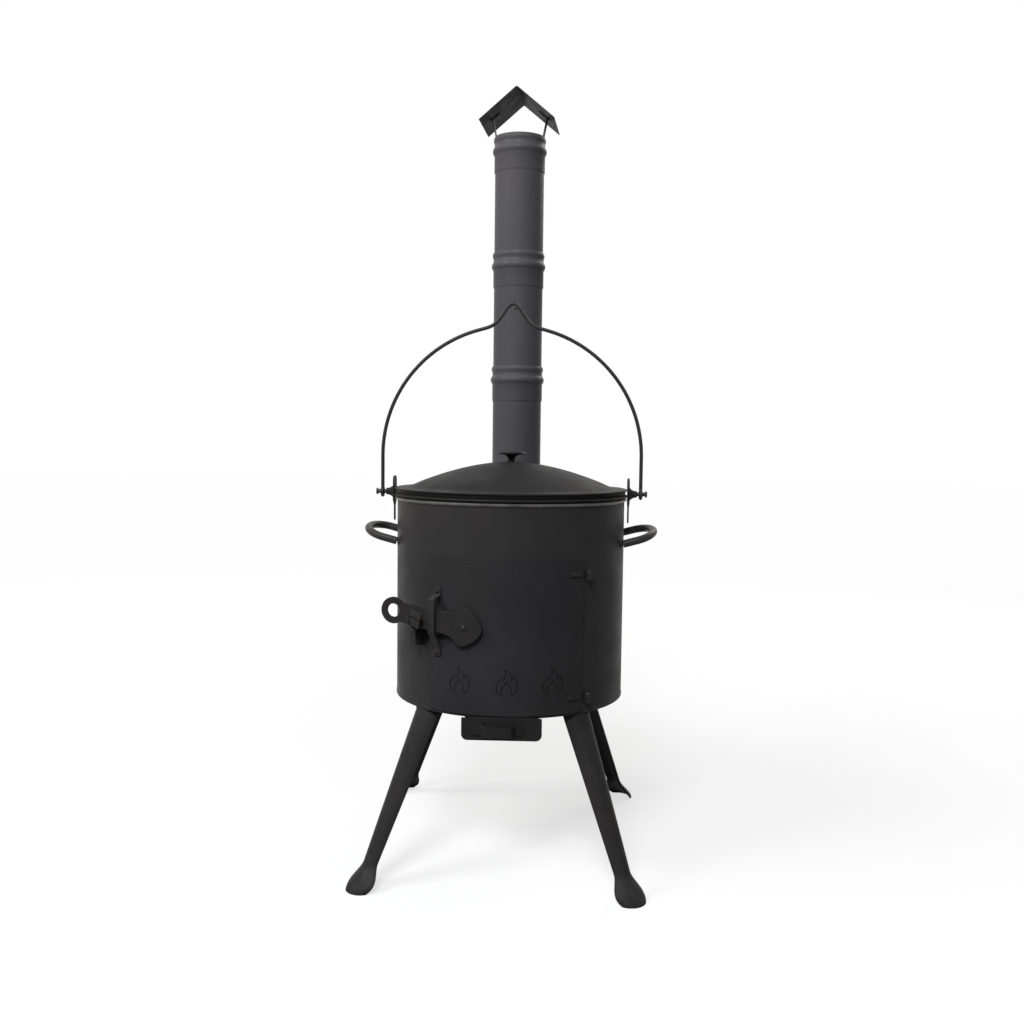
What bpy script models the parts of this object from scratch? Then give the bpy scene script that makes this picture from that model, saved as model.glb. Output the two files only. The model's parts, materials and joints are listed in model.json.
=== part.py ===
"""Cauldron stove: a round steel firebox on four splayed legs, a lift-out pot with a lid and a bail,
and a chimney of three pipe sections behind it.

Metres, +Z up, the door faces -Y. Everything is modelled about the firebox's axis, standing on z = 0.
Angles round the firebox are measured from its front, positive towards +X.
"""
import math

import bmesh
import bpy
from mathutils import Matrix, Vector

# General
GAP = 0.0003                    # clearance between pieces that touch
OVERRUN = 0.030                 # how far a cutter runs past what it cuts
WELD = 0.00001                  # points nearer than this are one point
SHARP_ANGLE = math.radians(32)  # edges that bend more than this stay sharp
BODY_FACETS = 60
POT_FACETS = 36
PIPE_FACETS = 22
ROD_FACETS = 12
FASTENER_FACETS = 8

# Firebox
BODY_RADIUS = 0.200
BODY_HEIGHT = 0.3465
SHEET = 0.002
FLOOR_CLEARANCE = 0.2755
PAN_RIM_HEIGHT = 0.012
ASH_HOLE_RADIUS = 0.050
GRATE_LAP = 0.012
GRATE_THICKNESS = 0.006
GRATE_SLOTS = 7
GRATE_SLOT_WIDTH = 0.006
GRATE_SLOT_PITCH = 0.0125
GRATE_EDGE = 0.014

# Door
DOOR_THICKNESS = 0.002
DOOR_STANDOFF = 0.0005
DOOR_HALF_ANGLE = math.radians(38.5)
DOOR_SILL = 0.0045              # body's lower edge to the door's
DOOR_HEAD = 0.0925              # door's upper edge to the body's
DOOR_LAP = 0.012                # how far the door covers the wall round the opening
DOOR_CORNER = 0.007
OPENING_CORNER = 0.010

# Door hinges
HINGE_ANGLE = math.radians(41)
HINGE_TOP_INSET = 0.026
HINGE_BOTTOM_INSET = 0.021
KNUCKLE_RADIUS = 0.005
KNUCKLE_HEIGHT = 0.0075
HINGE_PIN_RADIUS = 0.0022
HINGE_PIN_HEAD = 0.0012
HINGE_PIN_HEAD_RADIUS = 0.0036
LEAF_THICKNESS = 0.002
LEAF_LAP = 0.014                # length of leaf that lies on the door

# Latch, in the plane square to the wall at its rivet
LATCH_ANGLE = math.radians(-18.5)
LATCH_ABOVE_MIDDLE = 0.0178
LATCH_TILT = math.radians(8.8)
LATCH_STANDOFF = 0.0035         # door's face to the bar's inner face
LATCH_THICKNESS = 0.004
LATCH_REACH = 0.127             # rivet to the ring's centre
LATCH_BLADE_WIDTH = 0.065
LATCH_BAR_WIDTH = 0.036
LATCH_NECK_WIDTH = 0.033
LATCH_RING_RADIUS = 0.022
LATCH_RING_HOLE = 0.011
LATCH_RING_STEPS = 20
RIVET_RADIUS = 0.005
RIVET_HEAD_RADIUS = 0.0085
RIVET_HEAD_HEIGHT = 0.0025
WASHER_RADIUS = 0.010

# Spear end of the latch: shares of the reach along it, shares of half the blade's width across it
LATCH_SPEAR_shares = (
    (-0.244, 0.0), (-0.197, 0.385), (-0.106, 0.708), (-0.024, 0.938), (0.039, 1.0), (0.083, 0.815), (0.140, 0.62),
)
LATCH_BAR_START_share = 0.20
LATCH_NECK_START_share = 0.80

# Bowed strap that guides the latch on the door
GUIDE_FROM_OPENING = 0.003575   # opening's side edge to the strap's middle, across the front
GUIDE_WIDTH = 0.010
GUIDE_THICKNESS = 0.0025
GUIDE_CLEARANCE = 0.0026        # bar's outer face to the strap
GUIDE_ABOVE_RIVET = 0.0400      # upright middle part of the strap
GUIDE_BELOW_RIVET = 0.0115
GUIDE_UPPER_SLOPE = 0.008
GUIDE_LOWER_SLOPE = 0.027
GUIDE_TAB = 0.0135
SMALL_RIVET_RADIUS = 0.002
SMALL_RIVET_HEAD_RADIUS = 0.0038
SMALL_RIVET_HEAD_HEIGHT = 0.0015

# Keeper on the wall that the latch drops into
KEEPER_ANGLE = math.radians(-42.5)
KEEPER_THICKNESS = 0.004
KEEPER_DROP = 0.035
KEEPER_LEG = 0.022
KEEPER_LEG_TOP = 0.009          # the leg ends this far below the ledge
KEEPER_RAMP = math.radians(24)
KEEPER_NOSE = 0.0065
KEEPER_NOSE_RISE = 0.0183
KEEPER_NOSE_FOOT = 0.003

# Ash drawer
DRAWER_OFFSET = -0.004
DRAWER_FRONT_WIDTH = 0.130
DRAWER_FRONT_HEIGHT = 0.037
DRAWER_FRONT_CORNER = 0.010
DRAWER_FRONT_LAP = 0.0015       # how far the front reaches up over the body's edge
DRAWER_SHEET = 0.0015
TRAY_WIDTH = 0.116
TRAY_LENGTH = 0.236
TRAY_HEADROOM = 0.003
TRAY_BOTTOM_RISE = 0.0035       # tray's underside above the front's lower edge
RAIL_FLANGE = 0.009
PULL_WIDTH = 0.055
PULL_HEIGHT = 0.017
PULL_DEPTH = 0.018
PULL_SPLAY = 0.006
PULL_TAB = 0.012
PULL_OFFSET = -0.0055

# Legs
LEG_FRONT_LEFT_ANGLE = math.radians(-44.8)     # the photographed legs aren't set quite evenly
LEG_FRONT_RIGHT_ANGLE = math.radians(39.5)
LEG_REAR_LEFT_ANGLE = math.radians(-137.5)
LEG_REAR_RIGHT_ANGLE = math.radians(137.2)
LEG_TOP_INSET = 0.0005          # body's wall to the leg's outer face at the top
LEG_SPLAY = 0.131               # how much further out the ankle's line meets the floor
LEG_THICKNESS = 0.004
LEG_TOP_WIDTH = 0.056
LEG_ANKLE_WIDTH = 0.034
LEG_FOOT_WIDTH = 0.058
LEG_CROWN_share = 0.34          # depth of the channel, of its width
LEG_WRAP = math.radians(68)     # half the arc that the section turns through
FOOT_HEIGHT = 0.040
FOOT_KICK = 0.015
FOOT_TOE_share = 0.84           # width left at the floor, of the foot's greatest width
LEG_COLUMNS = 6
LEG_STATION_shares = (1.06, 0.55, 0.0)
FOOT_STATION_shares = (0.88, 0.74, 0.58, 0.42, 0.27, 0.12, -0.10)
LEG_TAB_LENGTH = 0.046
LEG_TAB_WIDTH = 0.034
LEG_BOLT_INSET = 0.030
LEG_BOLT_RADIUS = 0.003
LEG_BOLT_HEAD_RADIUS = 0.0065
LEG_BOLT_HEAD_HEIGHT = 0.004

# Side handles
HANDLE_BAR_RADIUS = 0.0062
HANDLE_HALF_SPREAD = 0.052
HANDLE_REACH = 0.059            # body's wall to the handle's outermost point
HANDLE_BELOW_RIM = 0.070
HANDLE_TILT = math.radians(15)
HANDLE_STRAIGHT_share = 0.25
HANDLE_STEPS = 14

# Pot
POT_CLEARANCE = 0.008
POT_DEPTH = 0.1655
POT_WALL = 0.004
POT_STEPS = 7
FLANGE_OVERHANG = 0.0055
FLANGE_THICKNESS = 0.0065

# Lid and its knob
LID_INSET = 0.001
LID_EDGE = 0.0087
LID_RISE = 0.046
LID_WALL = 0.003
LID_DOME_POWER = 1.45
LID_STEPS = 5
LID_LIP_DEPTH = 0.007
LID_LIP_CLEARANCE = 0.0015
KNOB_RADIUS = 0.024
KNOB_THICKNESS = 0.0044
KNOB_DISH = 0.0014
KNOB_HEIGHT = 0.017
KNOB_STEM_RADIUS = 0.0065
KNOB_FLARE_RADIUS = 0.013
KNOB_FLARE_HEIGHT = 0.005
KNOB_BORE_DEPTH = 0.010
KNOB_SCREW_RADIUS = 0.0025
KNOB_SCREW_HEAD_RADIUS = 0.006
KNOB_SCREW_HEAD_HEIGHT = 0.003

# Ears and bail
EAR_THICKNESS = 0.0026
EAR_WIDTH = 0.034
EAR_PRONG = 0.028               # flange's top to the prong's
EAR_TAIL = 0.0445               # flange's underside to the tail's end
EAR_TAIL_WIDTH = 0.008
EAR_SHOULDER = 0.009
EAR_CORNER = 0.010
BOSS_RADIUS = 0.006
BOSS_LENGTH = 0.0136
BOSS_FLARE_RADIUS = 0.0145
BOSS_FLARE_LENGTH = 0.0085
BAIL_PIN_RADIUS = 0.0037
BAIL_PIN_LENGTH = 0.0146
BAIL_PIN_HEAD_RADIUS = 0.0058
BAIL_PIN_HEAD = 0.0034
EYE_RADIUS = 0.0075
EYE_LENGTH = 0.006
EYE_STANDOFF = 0.0035           # boss's end to the eye
BAIL_WIRE_RADIUS = 0.0032
BAIL_LEG = 0.0645               # pin to the start of the arch
BAIL_HUMP_HEIGHT = 0.038
BAIL_HUMP_SPREAD = 0.0225
BAIL_HUMP_HALF = 0.054
BAIL_ARCH_STEPS = 8
BAIL_HUMP_STEPS = 14

# Flue and chimney
PIPE_RADIUS = 0.0485
PIPE_WALL = 0.0012
FLUE_STANDOFF = 0.065           # body's wall to the chimney's axis
FLUE_BELOW_RIM = 0.122
FLUE_INTRUSION = 0.0135         # elbow's end inside the body's outer radius
FLUE_BEND_RADIUS = 0.053
FLUE_BEND_STEPS = 6
COLLAR_WIDTH = 0.015
COLLAR_THICKNESS = 0.0015
STUB_RISE = 0.0215              # body's rim to the stub's lip
STUB_NECK = 0.010
PIPE_PITCH = 0.224
PIPE_SECTIONS = ("chimney_pipe_lower", "chimney_pipe_middle", "chimney_pipe_upper")
SOCKET_DEPTH = 0.068
SOCKET_STEP = 0.002
LIP_SWELL = 0.0017
LIP_HEIGHT = 0.012
BEAD_SWELL = 0.0035
BEAD_DROP = 0.027
BEAD_HEIGHT = 0.021

# Chimney cap
CAP_RISE = 0.083                # top pipe's lip to the ridge
CAP_LENGTH = 0.120
CAP_HALF_SPAN = 0.073
CAP_SLOPE = math.radians(40)
CAP_TURN = math.radians(-5.5)
CAP_SHEET = 0.0015
STRAP_WIDTH = 0.020
STRAP_SHEET = 0.0015
STRAP_LEG = 0.030
STRAP_LEAN = 0.007
STRAP_FOOT = 0.020

# What follows from the sizes above
BODY_BOTTOM = FLOOR_CLEARANCE
BODY_TOP = BODY_BOTTOM + BODY_HEIGHT
PAN_TOP = BODY_BOTTOM + SHEET
DOOR_INNER = BODY_RADIUS + DOOR_STANDOFF
DOOR_OUTER = DOOR_INNER + DOOR_THICKNESS
DOOR_BOTTOM = BODY_BOTTOM + DOOR_SILL
DOOR_TOP = BODY_TOP - DOOR_HEAD
DOOR_MIDDLE = (DOOR_BOTTOM + DOOR_TOP) / 2
OPENING_HALF_WIDTH = BODY_RADIUS * math.sin(DOOR_HALF_ANGLE) - DOOR_LAP
GUIDE_ANGLE = -math.asin((OPENING_HALF_WIDTH - GUIDE_FROM_OPENING) / BODY_RADIUS)
HINGE_AXIS_RADIUS = BODY_RADIUS + GAP + KNUCKLE_RADIUS
LATCH_INNER = DOOR_OUTER + LATCH_STANDOFF
LATCH_OUTER = LATCH_INNER + LATCH_THICKNESS
LATCH_Z = DOOR_MIDDLE + LATCH_ABOVE_MIDDLE
FLANGE_RADIUS = BODY_RADIUS + FLANGE_OVERHANG
FLANGE_BOTTOM = BODY_TOP + GAP
FLANGE_TOP = FLANGE_BOTTOM + FLANGE_THICKNESS
POT_RADIUS = BODY_RADIUS - SHEET - POT_CLEARANCE
LID_RADIUS = FLANGE_RADIUS - LID_INSET
LID_BOTTOM = FLANGE_TOP + GAP
LID_EDGE_TOP = LID_BOTTOM + LID_EDGE
LID_TOP = LID_EDGE_TOP + LID_RISE
EAR_INNER = FLANGE_RADIUS + GAP
EAR_OUTER = EAR_INNER + EAR_THICKNESS
PIN_Z = FLANGE_TOP
BOSS_END = EAR_OUTER + BOSS_LENGTH
BAIL_RADIUS = BOSS_END + EYE_STANDOFF + EYE_LENGTH / 2
FLUE_Y = BODY_RADIUS + FLUE_STANDOFF
FLUE_Z = BODY_TOP - FLUE_BELOW_RIM
SOCKET_RADIUS = PIPE_RADIUS + GAP + PIPE_WALL
STUB_LIP = BODY_TOP + STUB_RISE
PIPE_INSERTION = SOCKET_DEPTH - GAP
TOP_LIP = STUB_LIP + len(PIPE_SECTIONS) * PIPE_PITCH
DRAWER_FRONT_TOP = BODY_BOTTOM + DRAWER_FRONT_LAP
DRAWER_FRONT_BOTTOM = DRAWER_FRONT_TOP - DRAWER_FRONT_HEIGHT
TRAY_BOTTOM = DRAWER_FRONT_BOTTOM + TRAY_BOTTOM_RISE
TRAY_TOP = BODY_BOTTOM - TRAY_HEADROOM
DRAWER_FACE_Y = -(BODY_RADIUS + GAP)
LEG_TOP_RADIUS = BODY_RADIUS - LEG_TOP_INSET
LEG_FOOT_RADIUS = LEG_TOP_RADIUS + LEG_SPLAY
LEG_BOLT_R = LEG_TOP_RADIUS - LEG_BOLT_INSET


# Scene

def clear_scene():
    """Remove every object that the file starts with."""
    for obj in list(bpy.data.objects):
        bpy.data.objects.remove(obj)


def collection(name):
    """Make a collection in the scene."""
    made = bpy.data.collections.new(name)
    bpy.context.scene.collection.children.link(made)
    return made


def link(obj):
    """Put a new object among the parts."""
    PARTS.objects.link(obj)
    return obj


def as_tool(obj):
    """Move an object to the cutters, where it only shapes other pieces."""
    PARTS.objects.unlink(obj)
    CUTTERS.objects.link(obj)
    obj.hide_render = True
    obj.display_type = "WIRE"
    return obj


def empty(name, location, parent=None):
    """Add a pivot."""
    pivot = link(bpy.data.objects.new(name, None))
    pivot.location = location
    if parent:
        adopt(parent, [pivot])
    return pivot


def adopt(parent, children):
    """Hang pieces from a pivot and leave them where they are."""
    bpy.context.view_layer.update()
    for child in children:
        child.parent = parent
        child.matrix_parent_inverse = parent.matrix_world.inverted()


def material(name, colour, roughness, metallic):
    """A Principled material."""
    made = bpy.data.materials.new(name)
    made.use_nodes = True
    shader = made.node_tree.nodes["Principled BSDF"]
    shader.inputs["Base Color"].default_value = (*colour, 1.0)
    shader.inputs["Roughness"].default_value = roughness
    shader.inputs["Metallic"].default_value = metallic
    return made


def paint(parts, *finish):
    """Give each piece its own material."""
    for part in parts:
        part.data.materials.clear()
        part.data.materials.append(material(part.name + "_finish", *finish))
    return parts


# Shapes

def as_mesh(obj):
    """Swap an object for a mesh of its evaluated shape, with loose caps welded on and smooth shading."""
    bpy.context.view_layer.update()
    evaluated = obj.evaluated_get(bpy.context.evaluated_depsgraph_get())
    mesh = bpy.data.meshes.new_from_object(evaluated)
    bm = bmesh.new()
    bm.from_mesh(mesh)
    bmesh.ops.remove_doubles(bm, verts=bm.verts, dist=WELD)
    bm.to_mesh(mesh)
    bm.free()
    mesh.shade_smooth()
    mesh.set_sharp_from_angle(angle=SHARP_ANGLE)
    name = obj.name
    solid = bpy.data.objects.new(name, mesh)
    solid.matrix_world = obj.matrix_world
    bpy.data.objects.remove(obj)
    solid.name = name
    return link(solid)


def turned(name, section, facets, closed=False):
    """Turn a half section about Z. It runs down its outer side, and a closed one is a ring's."""
    mesh = bpy.data.meshes.new(name)
    edges = [(i, i + 1) for i in range(len(section) - 1)]
    if closed:
        edges.append((len(section) - 1, 0))
    mesh.from_pydata([(r, 0, z) for r, z in section], edges, [])
    obj = link(bpy.data.objects.new(name, mesh))
    screw = obj.modifiers.new("Turn", "SCREW")
    screw.steps = facets
    screw.render_steps = facets
    screw.use_merge_vertices = True
    screw.merge_threshold = WELD
    return as_mesh(obj)


def ring(name, inner, outer, bottom, top, facets=BODY_FACETS):
    """A plain ring about Z."""
    section = [(outer, top), (outer, bottom), (inner, bottom), (inner, top)]
    return turned(name, section, facets, closed=True)


def plate(name, outlines, thickness):
    """A flat piece in its own XY plane. Outlines inside the first one are holes."""
    curve = bpy.data.curves.new(name, "CURVE")
    curve.dimensions = "2D"
    curve.fill_mode = "BOTH"
    curve.extrude = thickness / 2
    for outline in outlines:
        spline = curve.splines.new("POLY")
        spline.points.add(len(outline) - 1)
        for point, (x, y) in zip(spline.points, outline):
            point.co = (x, y, 0, 1)
        spline.use_cyclic_u = True
    return as_mesh(link(bpy.data.objects.new(name, curve)))


def bar(name, path, radius, resolution=2, capped=True):
    """A round bar, or with no caps a tube's skin, along a path."""
    curve = bpy.data.curves.new(name, "CURVE")
    curve.dimensions = "3D"
    curve.bevel_depth = radius
    curve.bevel_resolution = resolution
    curve.use_fill_caps = capped
    spline = curve.splines.new("POLY")
    spline.points.add(len(path) - 1)
    for point, co in zip(spline.points, path):
        point.co = (*co, 1)
    return as_mesh(link(bpy.data.objects.new(name, curve)))


def rod(name, radius, length, facets=ROD_FACETS):
    """A cylinder about its own Z, standing on its origin."""
    bm = bmesh.new()
    shift = Matrix.Translation((0, 0, length / 2))
    bmesh.ops.create_cone(bm, cap_ends=True, segments=facets, radius1=radius, radius2=radius, depth=length, matrix=shift)
    return from_bmesh(name, bm)


def block(name, low, high):
    """A box between two corners."""
    low, high = Vector(low), Vector(high)
    bm = bmesh.new()
    place = Matrix.Translation((low + high) / 2) @ Matrix.Diagonal((*(high - low), 1))
    bmesh.ops.create_cube(bm, size=1, matrix=place)
    return from_bmesh(name, bm)


def from_bmesh(name, bm):
    """Finish a mesh that was made by hand."""
    mesh = bpy.data.meshes.new(name)
    bm.to_mesh(mesh)
    bm.free()
    mesh.shade_smooth()
    mesh.set_sharp_from_angle(angle=SHARP_ANGLE)
    return link(bpy.data.objects.new(name, mesh))


def folded_sheet(name, path, width, thickness):
    """A strip bent along a path in its XZ plane, its width along Y."""
    bm = bmesh.new()
    near = [bm.verts.new((x, -width / 2, z)) for x, z in path]
    edges = [bm.edges.new(pair) for pair in zip(near, near[1:])]
    far = bmesh.ops.extrude_edge_only(bm, edges=edges)["geom"]
    bmesh.ops.translate(bm, verts=[v for v in far if isinstance(v, bmesh.types.BMVert)], vec=(0, width, 0))
    obj = from_bmesh(name, bm)
    solidify(obj, thickness, 0)
    return as_mesh(obj)


def solidify(obj, thickness, offset):
    """Thicken an open surface: offset -1 is inwards, 0 is both ways."""
    shell = obj.modifiers.new("Wall", "SOLIDIFY")
    shell.thickness = thickness
    shell.offset = offset
    shell.use_even_offset = True
    shell.use_quality_normals = True


def boolean(obj, tool, operation):
    """Shape a piece with another one, which joins the cutters."""
    step = obj.modifiers.new(operation.title(), "BOOLEAN")
    step.operation = operation
    step.object = tool
    if tool.name in PARTS.objects:
        as_tool(tool)


def cut(obj, *tools):
    """Take tools away from a piece."""
    for tool in tools:
        boolean(obj, tool, "DIFFERENCE")


def fuse(obj, *tools):
    """Join more shapes onto a piece."""
    for tool in tools:
        boolean(obj, tool, "UNION")


def place(obj, location=(0, 0, 0), rotation=(0, 0, 0)):
    """Put a piece in its place."""
    obj.location = location
    obj.rotation_euler = rotation
    return obj


# Outlines and directions

def arc(centre, radius, start, end, steps):
    """Points along an arc, both ends included."""
    turns = [start + (end - start) * i / steps for i in range(steps + 1)]
    return [(centre[0] + radius * math.cos(a), centre[1] + radius * math.sin(a)) for a in turns]


def circle(radius, facets):
    """A closed round outline."""
    return arc((0, 0), radius, 0, math.tau, facets)[:-1]


def rounded_rectangle(low, high, corner, steps=4):
    """A rectangle's outline with round corners."""
    left, bottom = low[0] + corner, low[1] + corner
    right, top = high[0] - corner, high[1] - corner
    centres = [(right, bottom), (right, top), (left, top), (left, bottom)]
    outline = []
    for turn, centre in enumerate(centres):
        start = (turn - 1) * math.pi / 2
        outline += arc(centre, corner, start, start + math.pi / 2, steps)
    return outline


def outward(angle):
    """Direction out of the body's wall."""
    return Vector((math.sin(angle), -math.cos(angle), 0))


def on_wall(angle, radius, z):
    """A point at an angle round the body."""
    return outward(angle) * radius + Vector((0, 0, z))


def wall_facing(angle):
    """Turns a piece so that its X runs along the wall, its Y up and its Z outwards."""
    return (math.pi / 2, 0, angle)


def wall_edge_on(angle):
    """Turns a piece so that its X runs outwards, its Y up and its Z along the wall."""
    return (math.pi / 2, 0, angle - math.pi / 2)


def clear_radius(radius, facets):
    """Radius of a faceted bore that clears a round piece by the gap."""
    return (radius + GAP) / math.cos(math.pi / facets)


# Firebox

def door_window(name, half_width, bottom, top, corner):
    """A block with round corners that runs out through the front wall."""
    depth = 2 * BODY_RADIUS
    window = plate(name, [rounded_rectangle((-half_width, bottom), (half_width, top), corner)], depth)
    return place(window, (0, -depth / 2 - SHEET, 0), (math.pi / 2, 0, 0))


def flue_tool(name, radius):
    """A cylinder along the flue's outlet."""
    tool = rod(name, radius, 2 * OVERRUN + SHEET, PIPE_FACETS)
    return place(tool, (0, BODY_RADIUS - OVERRUN, FLUE_Z), (-math.pi / 2, 0, 0))


def body_shell():
    """The round wall, open for the door and the flue."""
    shell = ring("body_shell", BODY_RADIUS - SHEET, BODY_RADIUS, BODY_BOTTOM, BODY_TOP)
    opening = door_window("tool_opening", OPENING_HALF_WIDTH, DOOR_BOTTOM + DOOR_LAP, DOOR_TOP - DOOR_LAP, OPENING_CORNER)
    cut(shell, opening, flue_tool("tool_flue_hole", clear_radius(PIPE_RADIUS, PIPE_FACETS)))
    return shell


def leg_bolt_tools():
    """Bores for the leg bolts."""
    tools = []
    for name, angle in leg_angles().items():
        tool = rod("tool_bolt_" + name, clear_radius(LEG_BOLT_RADIUS, FASTENER_FACETS), 2 * OVERRUN, FASTENER_FACETS)
        tools.append(place(tool, on_wall(angle, LEG_BOLT_R, BODY_BOTTOM - OVERRUN), (0, 0, angle)))
    return tools


def bottom_pan(bolt_tools):
    """The dished floor of the firebox, with a hole for the ash."""
    rim = BODY_RADIUS - SHEET - GAP
    section = [
        (rim, BODY_BOTTOM + PAN_RIM_HEIGHT), (rim, BODY_BOTTOM), (ASH_HOLE_RADIUS, BODY_BOTTOM),
        (ASH_HOLE_RADIUS, PAN_TOP), (rim - SHEET, PAN_TOP), (rim - SHEET, BODY_BOTTOM + PAN_RIM_HEIGHT),
    ]
    pan = turned("bottom_pan", section, BODY_FACETS, closed=True)
    cut(pan, *bolt_tools)
    return pan


def fire_grate():
    """A round grate with slots, lying over the ash hole."""
    radius = ASH_HOLE_RADIUS + GRATE_LAP
    outlines = [circle(radius, BODY_FACETS // 2)]
    for row in range(GRATE_SLOTS):
        x = (row - (GRATE_SLOTS - 1) / 2) * GRATE_SLOT_PITCH
        half = math.sqrt((radius - GRATE_EDGE) ** 2 - x ** 2)
        low = (x - GRATE_SLOT_WIDTH / 2, -half)
        high = (x + GRATE_SLOT_WIDTH / 2, half)
        outlines.append(rounded_rectangle(low, high, GRATE_SLOT_WIDTH / 3, 2))
    grate = plate("fire_grate", outlines, GRATE_THICKNESS)
    return place(grate, (0, 0, PAN_TOP + GAP + GRATE_THICKNESS / 2))


# Door, hinges and latch

def door_panel():
    """A curved plate over the opening, bored for the latch and the guide."""
    door = ring("door_panel", DOOR_INNER, DOOR_OUTER, DOOR_BOTTOM - OVERRUN, DOOR_TOP + OVERRUN)
    half_width = BODY_RADIUS * math.sin(DOOR_HALF_ANGLE)
    boolean(door, door_window("tool_door", half_width, DOOR_BOTTOM, DOOR_TOP, DOOR_CORNER), "INTERSECT")
    cut(door, wall_bore("tool_latch_bore", LATCH_ANGLE, LATCH_Z, RIVET_RADIUS, ROD_FACETS))
    for number, z in enumerate(guide_rivet_heights()):
        cut(door, wall_bore(f"tool_guide_bore_{number}", GUIDE_ANGLE, z, SMALL_RIVET_RADIUS, FASTENER_FACETS))
    return door


def wall_bore(name, angle, z, radius, facets):
    """A cylinder through the wall that clears a rivet."""
    tool = rod(name, clear_radius(radius, facets), 2 * OVERRUN, facets)
    return place(tool, on_wall(angle, DOOR_OUTER - OVERRUN, z), wall_facing(angle))


def hinge_heights():
    """Heights of the planes where each hinge's two knuckles meet."""
    return {"top": DOOR_TOP - HINGE_TOP_INSET, "bottom": DOOR_BOTTOM + HINGE_BOTTOM_INSET}


def hinge_bore(name, z):
    """Bore for a hinge pin."""
    tool = rod("tool_bore_" + name, clear_radius(HINGE_PIN_RADIUS, ROD_FACETS), 2 * OVERRUN)
    return place(tool, on_wall(HINGE_ANGLE, HINGE_AXIS_RADIUS, z - OVERRUN))


def door_knuckle(name, z):
    """A barrel above the joint plane, on a leaf that lies on the door."""
    knuckle = rod("door_knuckle_" + name, KNUCKLE_RADIUS, KNUCKLE_HEIGHT)
    place(knuckle, on_wall(HINGE_ANGLE, HINGE_AXIS_RADIUS, z + GAP / 2))
    back = math.acos((DOOR_OUTER + GAP + LEAF_THICKNESS / 2) / HINGE_AXIS_RADIUS)
    reach = HINGE_AXIS_RADIUS * math.sin(back)
    leaf = block("tool_leaf_" + name, (-LEAF_LAP, 0, 0), (reach, KNUCKLE_HEIGHT, LEAF_THICKNESS))
    place(leaf, on_wall(HINGE_ANGLE - back, DOOR_OUTER + GAP, z + GAP / 2), wall_facing(HINGE_ANGLE - back))
    fuse(knuckle, leaf)
    cut(knuckle, hinge_bore("door_" + name, z))
    return knuckle


def shell_knuckle(name, z):
    """The barrel below the joint plane, welded to the wall."""
    knuckle = rod("shell_knuckle_" + name, KNUCKLE_RADIUS, KNUCKLE_HEIGHT)
    place(knuckle, on_wall(HINGE_ANGLE, HINGE_AXIS_RADIUS, z - GAP / 2 - KNUCKLE_HEIGHT))
    cut(knuckle, hinge_bore("shell_" + name, z))
    return knuckle


def hinge_pin(name, z):
    """A headed pin dropped through both knuckles."""
    seat = GAP / 2 + KNUCKLE_HEIGHT + GAP
    section = [
        (0, seat + HINGE_PIN_HEAD), (HINGE_PIN_HEAD_RADIUS, seat + HINGE_PIN_HEAD), (HINGE_PIN_HEAD_RADIUS, seat),
        (HINGE_PIN_RADIUS, seat), (HINGE_PIN_RADIUS, -seat), (0, -seat),
    ]
    pin = turned("hinge_pin_" + name, section, ROD_FACETS)
    return place(pin, on_wall(HINGE_ANGLE, HINGE_AXIS_RADIUS, z))


def latch_half_width(along):
    """Half the width of the latch's bar at a distance from the rivet."""
    start, end = LATCH_BAR_START_share * LATCH_REACH, LATCH_NECK_START_share * LATCH_REACH
    share = min(max((along - start) / (end - start), 0), 1)
    return (LATCH_BAR_WIDTH + (LATCH_NECK_WIDTH - LATCH_BAR_WIDTH) * share) / 2


def latch_bar():
    """A flat bar with a spear end and a ring, which turns on its rivet and drops into the keeper."""
    upper = [(along * LATCH_REACH, across * LATCH_BLADE_WIDTH / 2) for along, across in LATCH_SPEAR_shares]
    for share in (LATCH_BAR_START_share, LATCH_NECK_START_share):
        upper.append((share * LATCH_REACH, latch_half_width(share * LATCH_REACH)))
    lower = [(along, -across) for along, across in reversed(upper[1:])]
    meeting = math.pi - math.asin(LATCH_NECK_WIDTH / 2 / LATCH_RING_RADIUS)
    ring_outline = arc((LATCH_REACH, 0), LATCH_RING_RADIUS, meeting, -meeting, LATCH_RING_STEPS)
    ring_hole = arc((LATCH_REACH, 0), LATCH_RING_HOLE, 0, math.tau, LATCH_RING_STEPS)[:-1]
    bore = circle(clear_radius(RIVET_RADIUS, ROD_FACETS), ROD_FACETS)
    outlines = [upper + ring_outline + lower, ring_hole, bore]
    leftwards = [[(-x, y) for x, y in reversed(outline)] for outline in outlines]
    latch = plate("latch_bar", leftwards, LATCH_THICKNESS)
    latch.data.transform(Matrix.Rotation(-LATCH_TILT, 4, "Z"))
    return place(latch, on_wall(LATCH_ANGLE, (LATCH_INNER + LATCH_OUTER) / 2, LATCH_Z), wall_facing(LATCH_ANGLE))


def rivet_section(radius, head_radius, head_height, bottom, top):
    """Half section of a rivet with a domed head on each side of what it holds."""
    return [
        (0, top + head_height), (head_radius / 2, top + head_height * 7 / 8), (head_radius, top + head_height / 3),
        (head_radius, top), (radius, top), (radius, bottom), (head_radius, bottom),
        (head_radius, bottom - head_height / 2), (0, bottom - head_height / 2),
    ]


def behind_door(radius):
    """Distance from the body's axis at which a flat round head clears the door's faceted inner face."""
    flat = DOOR_INNER * math.cos(math.pi / BODY_FACETS)
    return math.sqrt(flat ** 2 - radius ** 2) - GAP


def latch_rivet():
    """The pivot, through the bar, the washer and the door."""
    bottom = behind_door(RIVET_HEAD_RADIUS) - DOOR_OUTER
    top = LATCH_OUTER + GAP - DOOR_OUTER
    section = rivet_section(RIVET_RADIUS, RIVET_HEAD_RADIUS, RIVET_HEAD_HEIGHT, bottom, top)
    rivet = turned("latch_rivet", section, ROD_FACETS)
    return place(rivet, on_wall(LATCH_ANGLE, DOOR_OUTER, LATCH_Z), wall_facing(LATCH_ANGLE))


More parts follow.
